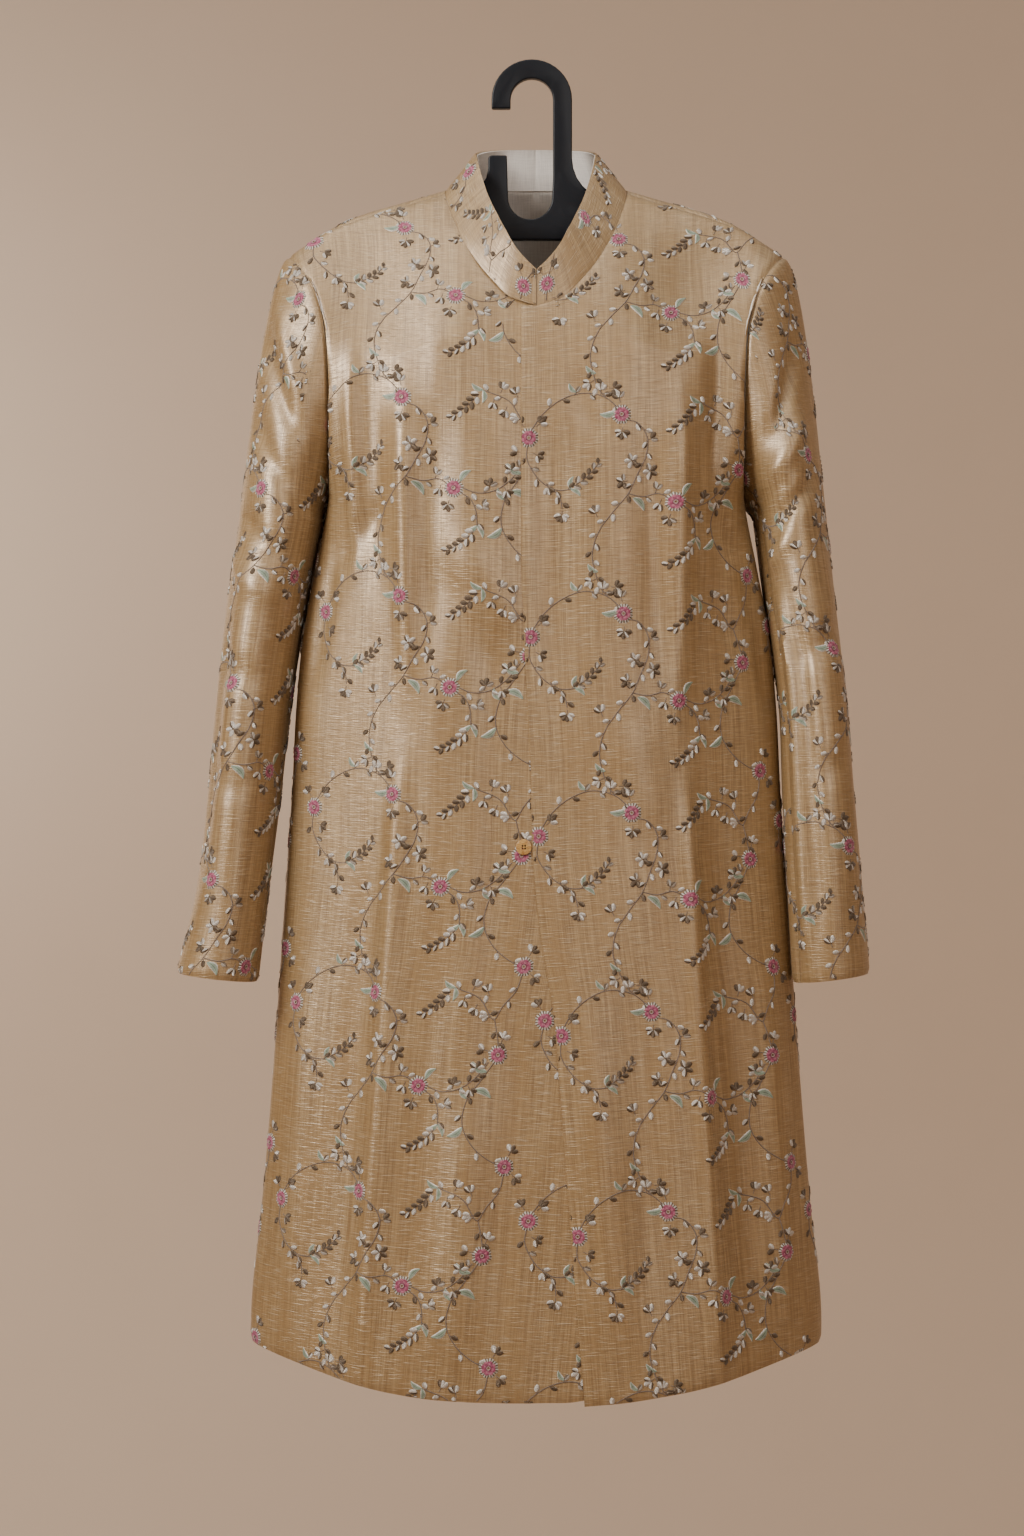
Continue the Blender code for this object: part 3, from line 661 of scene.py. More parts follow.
@functools.cache
def cloths():
    """Every silk piece's fine surface, by node."""
    left, right = (
        soften(body_rows("front", edge, HEM_CENTRE_Z, FRONT_COUNTS, columns), FRONT_COUNTS[0])
        for edge, columns in (
            (opening_x, FRONT_COLUMNS),
            (right_edge_x, FRONT_COLUMNS + UNDERLAP_COLUMNS),
        )
    )
    right = step_back(right)
    # Where it lies under the left front, the right one follows that one's folds.
    crossed = tuple(fold._replace(s1=-fold.s1, s2=-fold.s2) for fold in LEFT_FOLDS if fold.s1 < LAPPED)
    made = {}
    for name, rows, folds, side in (
        ("left", left, LEFT_FOLDS, 1),
        ("right", right, RIGHT_FOLDS + crossed, -1),
    ):
        flat = flatten(rows, rows[:, 0, 0])
        drops = (LAP_DROP, SEAM_DROP)
        made[f"front_{name}"] = Cloth(rows, flat, folds, side, lean_out, drops=drops)
    heights = np.linspace(-1.3, 0, 60)
    edge = np.array([COAT_X + opening_x(z) for z in heights]) + COVER_MARGIN
    made["front_right"].covered = lambda point: point[:, 0] > np.interp(point[:, 2], heights, edge)
    half = body_rows("back", lambda z: 0, HEM_BACK_Z, BACK_COUNTS, BACK_COLUMNS)
    half = soften(half, BACK_COUNTS[0])
    half_s = flatten(half, half[:, 0, 0])[0]
    back = np.concatenate([half[:, ::-1], half * MIRROR], axis=1)
    flat = flatten(back, -half_s[:, -1])
    mirrored = tuple(
        fold._replace(s1=-fold.s1, s2=-fold.s2 * BACK_FOLD_LEAN, t1=fold.t1 - BACK_FOLD_SHIFT)
        for fold in BACK_FOLDS
    )
    made["back"] = Cloth(back, flat, BACK_FOLDS + mirrored, gap=BACK_COUNTS[0] + BACK_COUNTS[1])
    for name, side in (("right", -1), ("left", 1)):
        forearm = FOREARM_SEAM[name]
        first, last = forearm - SEAM_TURN, HIND_SEAM + SEAM_TURN
        rows = sleeve_rows(SLEEVES[name], first, last, SLEEVE_COUNTS, TOP_SLEEVE_COLUMNS)
        front = round((first - math.pi / 2) / (first - last) * TOP_SLEEVE_COLUMNS)
        flat = flatten_sleeve(rows, SLEEVE_COUNTS[0], front)
        made[f"sleeve_{name}_top"] = Cloth(rows, flat, SLEEVE_FOLDS[name], side)
        first, last = HIND_SEAM + 2 * math.pi - SEAM_TURN, forearm + SEAM_TURN
        rows = sleeve_rows(SLEEVES[name], first, last, SLEEVE_COUNTS, UNDER_SLEEVE_COLUMNS)
        made[f"sleeve_{name}_under"] = Cloth(rows, flatten_sleeve(rows, SLEEVE_COUNTS[0], 0), (), side)
    half = collar_rows(*COLLAR_COUNTS)
    collar = np.concatenate([half, (half * MIRROR)[:, -2::-1]], axis=1)
    made["collar"] = Cloth(collar, flatten_band(collar), drops=(LAP_DROP, LAP_DROP))
    made["collar_left_half"] = Cloth(half, flatten_band(half), drops=(0, 0))
    made["collar_right_half"] = Cloth(half, flatten_band(half), side=-1, drops=(0, 0))
    return made


# ---------------------------------------------------------------- shader maths


class Wire:
    """A shader value. Python's operators on it add Math nodes."""

    def __init__(self, paint, socket):
        self.paint, self.socket = paint, socket

    def _math(self, operation, *values):
        return self.paint.node("ShaderNodeMath", {"operation": operation}, values)

    def __add__(self, other):
        return self._math("ADD", self, other)

    __radd__ = __add__

    def __sub__(self, other):
        return self._math("SUBTRACT", self, other)

    def __rsub__(self, other):
        return self._math("SUBTRACT", other, self)

    def __mul__(self, other):
        return self._math("MULTIPLY", self, other)

    __rmul__ = __mul__

    def sine(self):
        return self._math("SINE", self)

    def clamp(self):
        return self.paint.node("ShaderNodeClamp", {}, (self, 0.0, 1.0))


STITCH = 0.0007  # from one stitch to the next


class Paint:
    def __init__(self, name, **constants):
        self.material = bpy.data.materials.new(name)
        self.material.use_nodes = True
        self.tree = self.material.node_tree
        self.shader = self.tree.nodes["Principled BSDF"]
        for socket, value in constants.items():
            self.shader.inputs[socket.replace("_", " ")].default_value = value

    def node(self, kind, settings, values=(), output=0):
        made = self.tree.nodes.new(kind)
        for key, value in settings.items():
            setattr(made, key, value)
        items = values.items() if isinstance(values, dict) else enumerate(values)
        for key, value in items:
            if isinstance(value, Wire):
                self.tree.links.new(value.socket, made.inputs[key])
            elif value is not None:
                made.inputs[key].default_value = value
        return Wire(self, made.outputs[output])

    def uv(self, scale_x, scale_y):
        """The cloth's flat places, in metres, stretched by two scales."""
        place = self.node("ShaderNodeUVMap", {"uv_map": "Cloth"})
        return self.stretched(place, (scale_x, scale_y, 1.0))

    def stretched(self, place, scale):
        return self.node("ShaderNodeMapping", {}, {"Vector": place, "Scale": scale})

    def yarns(self, across, along, detail=2.0, roughness=0.6):
        """Noise on the cloth, this many times a metre across the grain and along it."""
        return self.noise(self.uv(across, along), 1.0, detail, roughness)

    def noise(self, vector, scale=1.0, detail=2.0, roughness=0.5):
        values = {"Vector": vector, "Scale": scale, "Detail": detail, "Roughness": roughness}
        return self.node("ShaderNodeTexNoise", {}, values)

    def objects(self):
        return self.node("ShaderNodeTexCoord", {}, (), "Object")

    def attribute(self, name, output):
        return self.node("ShaderNodeAttribute", {"attribute_name": name}, (), output)

    def blend(self, share, first, second):
        """A colour between two colours."""
        first = first if isinstance(first, Wire) else (*first, 1.0)
        second = second if isinstance(second, Wire) else (*second, 1.0)
        values = {0: share, 6: first, 7: second}
        return self.node("ShaderNodeMix", {"data_type": "RGBA"}, values, 2)

    def ramp(self, share, low, high):
        """A value brought from low..high to 0..1, held at the ends."""
        values = {"Value": share, "From Min": low, "From Max": high}
        return self.node("ShaderNodeMapRange", {"clamp": True}, values)

    def finish(self, colour=None, roughness=None, bump=None, bump_height=0.0005, metallic=None):
        for socket, value in (("Base Color", colour), ("Roughness", roughness), ("Metallic", metallic)):
            if value is not None:
                self.tree.links.new(value.socket, self.shader.inputs[socket])
        if bump is not None:
            values = {"Height": bump, "Distance": bump_height, "Strength": 1.0}
            relief = self.node("ShaderNodeBump", {}, values)
            self.tree.links.new(relief.socket, self.shader.inputs["Normal"])
        return self.material


@functools.cache
def silk_paint():
    """Slub silk: uneven horizontal weft yarns over fine warps, with ochre bands and pale slubs."""
    tone = bpy.context.scene.sherwani_cloth
    paint = Paint("slub_silk", Specular_IOR_Level=1.0, Coat_Weight=0.35, Coat_Roughness=0.40)
    weft = paint.yarns(45, 1500)
    warp = paint.yarns(1400, 22)
    slub = paint.ramp(paint.yarns(60, 900, 1.0, 0.5), 0.58, 0.72)
    knot = paint.ramp(paint.yarns(50, 700, 1.0, 0.5), 0.42, 0.30)
    streak = paint.yarns(300, 6)
    band = paint.ramp(paint.yarns(34, 4, 3.0), 0.42, 0.60)
    share = paint.ramp(weft * 0.36 + warp * 0.34 + streak * 0.30, 0.42, 0.60)
    colour = paint.blend(share, tuple(tone.silk_dark), tuple(tone.silk_light))
    colour = paint.blend(band * 0.45, colour, tuple(tone.silk_ochre))
    colour = paint.blend(slub * 0.40, colour, tuple(tone.silk_grey))
    colour = paint.blend(knot * 0.35, colour, tuple(tone.silk_dark))
    roughness = 0.42 - share * 0.08 + slub * 0.08
    relief = weft * 0.5 + warp * 0.4 + slub * 0.6 - knot * 0.3
    return paint.finish(colour, roughness, relief, 0.0003, 0.20 + share * 0.12)


@functools.cache
def lining_paint():
    """Pale satin, with faint warps."""
    paint = Paint("lining_satin", Sheen_Weight=0.2, Specular_IOR_Level=0.6)
    warp = paint.yarns(900, 40, roughness=0.5)
    weft = paint.yarns(60, 700, roughness=0.5)
    share = paint.ramp(warp * 0.6 + weft * 0.4, 0.35, 0.65)
    colour = paint.blend(share, (0.66, 0.61, 0.56), (0.82, 0.77, 0.71))
    return paint.finish(colour, 0.34 + weft * 0.12, warp * 0.5 + weft * 0.5, 0.0002)


def thread_paint():
    """Embroidery thread: fine stitches over each motif, silk or metal as its faces say."""
    paint = Paint("embroidery_thread", Sheen_Weight=0.25, Sheen_Roughness=0.4, Specular_IOR_Level=0.6)
    tint, metal = paint.attribute("tint", "Color"), paint.attribute("metal", "Fac")
    place = paint.node("ShaderNodeUVMap", {"uv_map": "Stitch"})
    along = paint.node("ShaderNodeSeparateXYZ", {}, (place,), "X")
    across = paint.node("ShaderNodeSeparateXYZ", {}, (place,), "Y")
    stitch = ((along + across * 0.6) * (2 * math.pi / STITCH)).sine() * 0.5 + 0.5
    fleck = paint.noise(paint.objects(), 700.0, 2.0)
    shadow = (1.25 - stitch * 0.35 - fleck * 0.9).clamp()
    colour = paint.blend(shadow * 0.55, tint, (0.05, 0.035, 0.025))
    return paint.finish(colour, 0.48 - metal * 0.12 + fleck * 0.10, stitch + fleck, 0.0002, metal * 0.5)


def plastic_paint():
    """Moulded plastic: charcoal black, a fine satin grain and light scuffs."""
    paint = Paint("hanger_plastic", Specular_IOR_Level=0.3)
    grain = paint.noise(paint.objects(), 2200.0, 2.0)
    scuff = paint.ramp(paint.noise(paint.objects(), 60.0, 5.0, 0.7), 0.55, 0.75)
    colour = paint.blend(scuff * 0.35, (0.005, 0.007, 0.011), (0.014, 0.017, 0.023))
    return paint.finish(colour, 0.34 + scuff * 0.14 + grain * 0.05, grain, 0.00005)


def horn_paint():
    """Amber horn: cloudy streaks under a polish."""
    paint = Paint("button_horn", Coat_Weight=0.4, Coat_Roughness=0.15)
    streak = paint.noise(paint.stretched(paint.objects(), (300, 60, 900)), 1.0, 3.0, 0.6)
    colour = paint.blend(paint.ramp(streak, 0.35, 0.68), (0.36, 0.17, 0.045), (0.68, 0.43, 0.15))
    return paint.finish(colour, 0.28 + streak * 0.12, streak, 0.00005)


# ---------------------------------------------------------------- the embroidery's drawing, in mm

# One repeat of the trailing vine, from the arch's first flower. Up is +y.
CELL = (0.245, 0.182)
FLOWERS = ((0, 0), (85, 17), (134, -65), (205, -33), (219, -134))

Vine = namedtuple("Vine", "points seeds")  # seeds: how far apart the seeds along it are, or 0
VINES = (
    Vine(((2, 6), (11, 19), (27, 32), (49, 39), (71, 33), (83, 22)), 13),
    Vine(((88, 12), (99, 9), (109, -6), (107, -23), (99, -39), (91, -55), (77, -71), (66, -84)), 9),
    Vine(((66, -84), (60, -96), (57, -111), (60, -128), (64, -140), (71, -149)), 7),
    Vine(((91, -56), (104, -59), (120, -57), (130, -62)), 14),
    Vine(((138, -68), (149, -75), (154, -86), (155, -99)), 8),
    Vine(((140, -64), (155, -69), (171, -66), (185, -56), (197, -40)), 10),
    Vine(((-1, -7), (-2, -18), (3, -30), (13, -42), (26, -49), (38, -49)), 9),
    Vine(((21, -47), (28, -56), (30, -66)), 7),
    Vine(((202, -40), (192, -56), (180, -76), (178, -98), (188, -116), (203, -128), (213, -133)), 17),
    Vine(((219, -140), (216, -156), (205, -172), (199, -183), (184, -165), (160, -156)), 12),
    Vine(((199, -183), (203, -198), (205, -209)), 9),
)

Leaf = namedtuple("Leaf", "x y angle length")
LEAVES = (
    Leaf(80, 20, 186, 15),
    Leaf(44, 40, 128, 11),
    Leaf(95, -60, -48, 16),
    Leaf(140, -59, 48, 14),
    Leaf(155, -99, 205, 12),
    Leaf(155, -99, -62, 12),
    Leaf(38, -49, 78, 12),
    Leaf(38, -49, -38, 11),
    Leaf(160, -156, 152, 12),
    Leaf(160, -156, -92, 12),
    Leaf(196, -49, 148, 16),
    Leaf(186, -66, -22, 17),
    Leaf(180, -74, 118, 12),
    Leaf(178, -100, 214, 16),
    Leaf(62, -126, 140, 12),
)

Spray = namedtuple("Spray", "x y angle turn length count")
SPRAYS = (
    Spray(152, -104, 236, -38, 34, 11),
    Spray(41, -46, 24, 34, 33, 10),
    Spray(156, -160, 232, -20, 36, 11),
)

# Bunches of seeds at the end of a short stalk: how many, and the angle that they fan over
Bunch = namedtuple("Bunch", "x y angle count fan")
BUNCHES = (
    Bunch(7, 10, 40, 3, 100),
    Bunch(-4, 10, 128, 3, 90),
    Bunch(4, -14, 330, 3, 100),
    Bunch(84, 28, 105, 3, 100),
    Bunch(66, 36, 82, 3, 80),
    Bunch(86, 5, 262, 5, 170),
    Bunch(108, -8, 22, 2, 60),
    Bunch(98, -26, 180, 5, 280),
    Bunch(108, -34, 330, 5, 280),
    Bunch(90, -44, 190, 4, 200),
    Bunch(62, -76, 110, 3, 80),
    Bunch(116, -57, 70, 2, 60),
    Bunch(122, -62, 250, 2, 60),
    Bunch(130, -76, 250, 4, 150),
    Bunch(156, -82, 20, 3, 80),
    Bunch(166, -66, 80, 3, 110),
    Bunch(180, -62, 300, 3, 100),
    Bunch(188, -50, 110, 4, 200),
    Bunch(30, -68, 265, 5, 150),
    Bunch(16, -42, 285, 3, 80),
    Bunch(207, -22, 70, 3, 110),
    Bunch(196, -30, 170, 2, 70),
    Bunch(222, -124, 60, 3, 100),
    Bunch(226, -140, 320, 3, 100),
    Bunch(192, -162, 110, 3, 70),
    Bunch(176, -158, 70, 3, 70),
    Bunch(182, -170, 250, 3, 70),
    Bunch(196, -178, 200, 3, 70),
    Bunch(170, -163, 265, 2, 60),
    Bunch(60, -132, 210, 3, 100),
    Bunch(74, -140, 350, 4, 160),
)

OFF_PIECE = 0.02  # how far off a piece's flat box a motif may start, in metres

# Where the repeat starts on each piece: s and t, in metres
PATTERN_START = {
    "front_left": (-0.0085, -0.349),
    "front_right": (-0.2085, -0.334),
    "back": (-0.118, -0.30),
    "sleeve_left_top": (-0.060, -0.375),
    "sleeve_left_under": (0.030, -0.36),
    "sleeve_right_top": (-0.105, -0.405),
    "sleeve_right_under": (0.060, -0.33),
    "collar_left_half": (0.011, 0.017),
    "collar_right_half": (-0.014, 0.014),
}

EMBROIDERED = {
    "fronts": ("front_left", "front_right", "collar_left_half", "collar_right_half"),
    "back": ("back",),
    "sleeves": ("sleeve_left_top", "sleeve_right_top", "sleeve_left_under", "sleeve_right_under"),
}

WINE, ROSE, PINK, BLUSH = (0.26, 0.03, 0.09), (0.50, 0.075, 0.19), (0.70, 0.20, 0.32), (0.80, 0.55, 0.50)
# The pale silver colour below is the silver thread of the leaves' edges and the flowers' outline ticks.
# It is also a painted glint on the seeds' brown zari.
MINT, MINT_DARK, SILVER_AND_GLINT = (0.36, 0.46, 0.35), (0.13, 0.20, 0.14), (0.90, 0.84, 0.76)
ZARI, GREY = (0.19, 0.135, 0.085), (0.27, 0.205, 0.165)

PETALS, FLOWER_SIDES = 8, 40
NOTCH, NOTCH_DROP = 0.13, 0.55  # how deep the notches between petals are, in the outline and below it
FLOWER_RINGS = (  # radius, height, colour or None for the petals, and share of metal
    (0.9, 0.8, WINE, 0.0),
    (1.7, 1.1, BLUSH, 0.0),
    (2.5, 0.6, WINE, 0.0),
    (4.2, 1.1, None, 0.0),
    (6.0, 1.1, None, 0.0),
    (6.9, 0.5, ZARI, 0.4),
    (8.3, 0.0, ZARI, 0.4),
)
FLOWER_SCALE, LARGEST_SCALE = 1.12, 4  # scales past the second belong to motifs drawn 1 mm long
SEED_LENGTH, SEED_WIDTH = 6.1, 4.6
LEAF_WIDTH, LEAF_BEND = 0.155, 0.15  # for a length of 1
WHOLE_GLINT_SEEDS, ANY_GLINT_SEEDS = 0.24, 0.60  # of all the seeds: those painted with a silver glint on both halves, and those painted with it on one half or both
VINE_STEP, SPRAY_STEP = 2.6, 3.0  # between the places along a couched line
VINE_SIZE, STALK_SIZE, SPRAY_SIZE = (0.52, 0.50), (0.36, 0.40), (0.42, 0.45)  # half width and height
SEED_TURN, SPRAY_TURN, SPRAY_CLOSE = 52, 48, 18  # how seeds lean off their line, in degrees
SPRAY_LARGE, SPRAY_SMALLER, BUNCH_SEED = 1.15, 0.30, 1.06


class Motif:
    """A stitched shape drawn flat in mm: its points, their heights and their places along and across
    the stitches, its faces, and each face's colour and whether it is metal thread."""

    def __init__(self, points, heights, stitch, faces, colours, metal):
        self.points = np.asarray(points, float) / 1000
        self.heights = np.asarray(heights, float) / 1000
        self.stitch = np.asarray(stitch, float) / 1000
        self.faces = np.asarray(faces, int)
        self.colours = np.asarray(colours, float)
        self.metal = np.asarray(metal, float)


def strip_faces(spans, count):
    """The faces of a strip: this many spans along it, and this many points across it."""
    corners = [i * count + k for i in range(spans) for k in range(count - 1)]
    return [(a, a + count, a + count + 1, a + 1) for a in corners]


def strip(stations, across, heights, colours, metal, width, bend=0.0, length=1.0):
    """A motif along +x: width gives its half width at each station, across its lines as shares of
    that."""
    points, stitch = [], []
    for i, u in enumerate(stations):
        for share in across:
            y = share * width(i, u)
            points.append((u * length, y + bend * length * u * (1 - u) * 4))
            stitch.append((u * length, y))
    spans = len(stations) - 1
    faces = strip_faces(spans, len(across))
    return Motif(points, tuple(heights) * (spans + 1), stitch, faces, colours * spans, metal * spans)


def flower_motif():
    """Eight satin petals in two pinks round an eye, in a ticked outline."""
    sides = FLOWER_SIDES
    points, ups, stitch, faces, tints, metals = [], [], [], [], [], []
    for ring, (radius, high, colour, metal) in enumerate(FLOWER_RINGS):
        lobed = smoothstep(1, 4, ring)
        for k in range(sides):
            angle = 2 * math.pi * k / sides
            notch = (1 - abs(math.sin(angle * PETALS / 2)) ** 0.7) * lobed
            r = radius * (1 - NOTCH * notch)
            points.append((r * math.cos(angle), r * math.sin(angle)))
            ups.append(high * (1 - NOTCH_DROP * notch))
            stitch.append((radius, angle * 4))
            if ring == 0:
                continue
            a, b = (ring - 1) * sides + k, (ring - 1) * sides + (k + 1) % sides
            faces.append((a, a + sides, b + sides, b))
            if colour is None:
                tints.append((ROSE, PINK)[(k * PETALS // sides + (ring < 4)) % 2])
            else:
                tints.append(SILVER_AND_GLINT if ring > 4 and k % 2 else colour)
            metals.append(metal)
    return Motif(points, ups, stitch, faces, tints, metals)


def leaf_motif():
    """A mint leaf 1 mm long, to be scaled: a vein down it and a scalloped silver edge."""
    stations = np.linspace(0, 1, 13)

    def width(i, u):
        return LEAF_WIDTH * (0.12 + math.sin(math.pi * u**0.85) ** 0.8) * (1.0 if i % 2 else 0.88)

    across = (-1.28, -0.92, -0.12, 0.12, 0.92, 1.28)
    heights = (0, 0.045, 0.030, 0.030, 0.045, 0)
    colours = (SILVER_AND_GLINT, MINT, MINT_DARK, MINT, SILVER_AND_GLINT)
    return strip(stations, across, heights, colours, (0.3, 0, 0, 0, 0.3), width, LEAF_BEND)


def seed_motif(first, second):
    """An oval seed in two halves, each in the zari's brown or in a painted silver glint on it."""
    stations = (0.0, 0.16, 0.5, 0.84, 1.0)
    across = (-1, -0.5, 0.1, 0.6, 1)
    heights = (0, 0.8, 1.0, 0.8, 0)
    colours = (first, first, second, second)

    def width(i, u):
        return SEED_WIDTH / 2 * (0.28, 0.80, 1.0, 0.80, 0.28)[i]

    return strip(stations, across, heights, colours, (1, 1, 1, 1), width, 0, SEED_LENGTH)


def curve_points(points, step):
    """A smooth line through points, with a place about every step."""
    points = np.asarray(points, float)
    run = lengths(points)
    count = max(int(run[-1] / step), 2)
    return np.array([through(run, points, at) for at in np.linspace(0, run[-1], count + 1)])


def line_motif(points, half_width, high):
    """A couched grey cord along a line of points."""
    points = np.asarray(points, float)
    along = np.gradient(points, axis=0)
    along /= np.linalg.norm(along, axis=1, keepdims=True)
    side = np.stack([-along[:, 1], along[:, 0]], -1)
    flat, ups, stitch = [], [], []
    for point, away, run in zip(points, side, lengths(points)):
        for share, lift in ((-1, 0), (-0.45, 1), (0.45, 1), (1, 0)):
            flat.append(point + away * share * half_width)
            ups.append(high * lift)
            stitch.append((run, share * half_width))
    faces = strip_faces(len(points) - 1, 4)
    return Motif(flat, ups, stitch, faces, [GREY] * len(faces), [0.35] * len(faces))


def step_from(x, y, angle, length):
    turn = math.radians(angle)
    return x + length * math.cos(turn), y + length * math.sin(turn)


class Drawing:
    """One repeat of the embroidery: each kind's motifs and where they go, as x, y, angle, scale."""

    def __init__(self, rng):
        self.rng = rng
        self.stems, self.seeds, self.pale_seeds, self.whole_glint_seeds = [], [], [], []
        self.leaves = [(leaf.x, leaf.y, leaf.angle, leaf.length) for leaf in LEAVES]
        self.flowers = [(x, y, 360 * rng.random(), FLOWER_SCALE) for x, y in FLOWERS]
        for vine in VINES:
            self.vine(vine)
        for spray in SPRAYS:
            self.spray(spray)
        for bunch in BUNCHES:
            self.bunch(bunch)

    def seed(self, x, y, angle, scale):
        """A seed from its stalk's end: plain zari, or zari with a painted silver glint on one half or on
        both.
        """
        draw = self.rng.random()
        group = self.seeds
        if draw < ANY_GLINT_SEEDS:
            group = self.whole_glint_seeds if draw < WHOLE_GLINT_SEEDS else self.pale_seeds
        group.append((x, y, angle, scale * (0.92 + 0.16 * self.rng.random())))

    def stalk(self, x, y, angle, length):
        """A short stalk, and its end."""
        end = step_from(x, y, angle, length)
        self.stems.append(line_motif([(x, y), end], *STALK_SIZE))
        return end

    def vine(self, vine):
        """A couched vine, with seeds on stalks to its two sides in turn."""
        points = curve_points(vine.points, VINE_STEP)
        self.stems.append(line_motif(points, *VINE_SIZE))
        run, side = 0.0, 1
        for before, after in zip(points, points[1:]):
            run += np.linalg.norm(after - before)
            if vine.seeds and run > vine.seeds:
                run, side = 0.0, -side
                angle = math.degrees(math.atan2(*(after - before)[::-1])) + side * SEED_TURN
                x, y = self.stalk(*after, angle, 2.2)
                self.seed(x, y, angle - side * 12, 1.0)

    def spray(self, spray):
        """A curved line with seeds close together on both sides, smaller towards its tip."""
        angle = spray.angle
        points = [(spray.x, spray.y)]
        for k in range(spray.count):
            share = k / (spray.count - 1)
            angle += spray.turn / spray.count
            side = 1 if k % 2 else -1
            turn = angle + side * (SPRAY_TURN - SPRAY_CLOSE * share)
            root = step_from(*points[-1], angle + 90, 0.6 * side)
            self.seed(*root, turn, SPRAY_LARGE - SPRAY_SMALLER * share)
            points.append(step_from(*points[-1], angle, spray.length / spray.count))
        self.stems.append(line_motif(curve_points(points, SPRAY_STEP), *SPRAY_SIZE))

    def bunch(self, bunch):
        x, y = self.stalk(bunch.x, bunch.y, bunch.angle, 4.0)
        for k in range(bunch.count):
            turn = bunch.angle + bunch.fan * (k / (bunch.count - 1) - 0.5)
            self.seed(*step_from(x, y, turn, 0.9), turn, BUNCH_SEED)


class Stitchery:
    """The joined mesh of one kind of motif over some pieces."""

    def __init__(self):
        self.points, self.stitch, self.faces, self.colours, self.metal = [], [], [], [], []
        self.count = 0

    def add(self, cloth, motif, places):
        """Lays copies of a motif on a cloth at flat places, cut off at the piece's edges."""
        turn = np.radians(places[:, 2])
        scale = places[:, 3]
        c, s = np.cos(turn) * scale, np.sin(turn) * scale
        x, y = motif.points[:, 0], motif.points[:, 1]
        flat = np.stack([np.outer(c, x) - np.outer(s, y), np.outer(s, x) + np.outer(c, y)], -1)
        flat += places[:, None, :2]
        # A leaf is drawn 1 mm long, so its height grows with it.
        high = np.outer(np.where(scale > LARGEST_SCALE, scale, 1), motif.heights)
        points, inside = cloth.place(flat.reshape(-1, 2), high.reshape(-1))
        faces = (motif.faces[None] + len(x) * np.arange(len(places))[:, None, None]).reshape(-1, 4)
        whole = inside[faces].all(axis=1)
        used, index = np.unique(faces[whole], return_inverse=True)
        if not len(used):
            return
        self.points.append(points[used])
        self.stitch.append(np.tile(motif.stitch, (len(places), 1))[used])
        self.faces.append(index.reshape(-1, 4) + self.count)
        self.colours.append(np.tile(motif.colours, (len(places), 1))[whole])
        self.metal.append(np.tile(motif.metal, len(places))[whole])
        self.count += len(used)

    def build(self, name, material):
        """The mesh object, each face with its colour and its metal."""
        mesh = bpy.data.meshes.new(name)
        points, faces = np.concatenate(self.points), np.concatenate(self.faces)
        mesh.from_pydata(points.tolist(), [], faces.tolist())
        corners = np.repeat(np.concatenate(self.colours), 4, axis=0)
        tint = mesh.color_attributes.new("tint", "FLOAT_COLOR", "CORNER")
        tint.data.foreach_set("color", np.hstack([corners, np.ones((len(corners), 1))]).ravel())
        metal = mesh.attributes.new("metal", "FLOAT", "FACE")
        metal.data.foreach_set("value", np.concatenate(self.metal))
        uv = mesh.uv_layers.new(name="Stitch")
        uv.data.foreach_set("uv", np.concatenate(self.stitch)[faces.ravel()].ravel())
        mesh.materials.append(material)
        mesh.update()
        mesh.shade_smooth()
        obj = bpy.data.objects.new(name, mesh)
        bpy.context.collection.objects.link(obj)
        return obj


def cells(cloth, start):
    """The offsets of the repeats that reach onto a piece."""
    low = np.array([cloth.s.min(), cloth.t.min()])
    high = np.array([cloth.s.max(), cloth.t.max()])
    first = np.floor((low - start) / CELL).astype(int) - 1
    last = np.ceil((high - start) / CELL).astype(int) + 1
    return [
        (start[0] + i * CELL[0], start[1] + k * CELL[1])
        for i in range(first[0], last[0] + 1)
        for k in range(first[1], last[1] + 1)
    ]


def spread(cloth, places, offsets):
    """Motif places in every repeat, those well off the piece left out."""
    places = np.array(places, float) / (1000, 1000, 1, 1)
    moved = np.concatenate([places + (x, y, 0, 0) for x, y in offsets])
    keep = np.ones(len(moved), bool)
    for place, flat in zip(moved.T, (cloth.s, cloth.t)):
        keep &= (place > flat.min() - OFF_PIECE) & (place < flat.max() + OFF_PIECE)
    return moved[keep]


# ---------------------------------------------------------------- making pieces


def deselect():
    bpy.ops.object.select_all(action="DESELECT")


def make_active(obj):
    deselect()
    obj.select_set(True)
    bpy.context.view_layer.objects.active = obj


def apply_modifiers(obj):
    make_active(obj)
    for modifier in list(obj.modifiers):
        bpy.ops.object.modifier_apply(modifier=modifier.name)


def merge(obj, within, *then):
    """Merges an object's points that lie together, and runs more steps on all of its mesh."""
    make_active(obj)
    bpy.ops.object.mode_set(mode="EDIT")
    bpy.ops.mesh.select_all(action="SELECT")
    bpy.ops.mesh.remove_doubles(threshold=within)
    for step in then:
        step()
    bpy.ops.object.mode_set(mode="OBJECT")


def open_strip(obj, strip):
    """Removes a strip of faces, and joins the edges that lie together on both sides of it."""
    make_active(obj)
    bpy.ops.object.mode_set(mode="EDIT")
    bpy.ops.mesh.select_mode(type="FACE")
    bpy.ops.object.mode_set(mode="OBJECT")
    obj.data.polygons.foreach_set("select", strip)
    bpy.ops.object.mode_set(mode="EDIT")
    bpy.ops.mesh.delete(type="FACE")
    bpy.ops.object.mode_set(mode="OBJECT")
    merge(obj, 0.00005)


def grid_shares(mesh):
    """How far across and up a new 2 m grid each of its points lies, from 0 to 1."""
    place = np.empty(len(mesh.vertices) * 3)
    mesh.vertices.foreach_get("co", place)
    return (place.reshape(-1, 3).T[:2] + 1) / 2


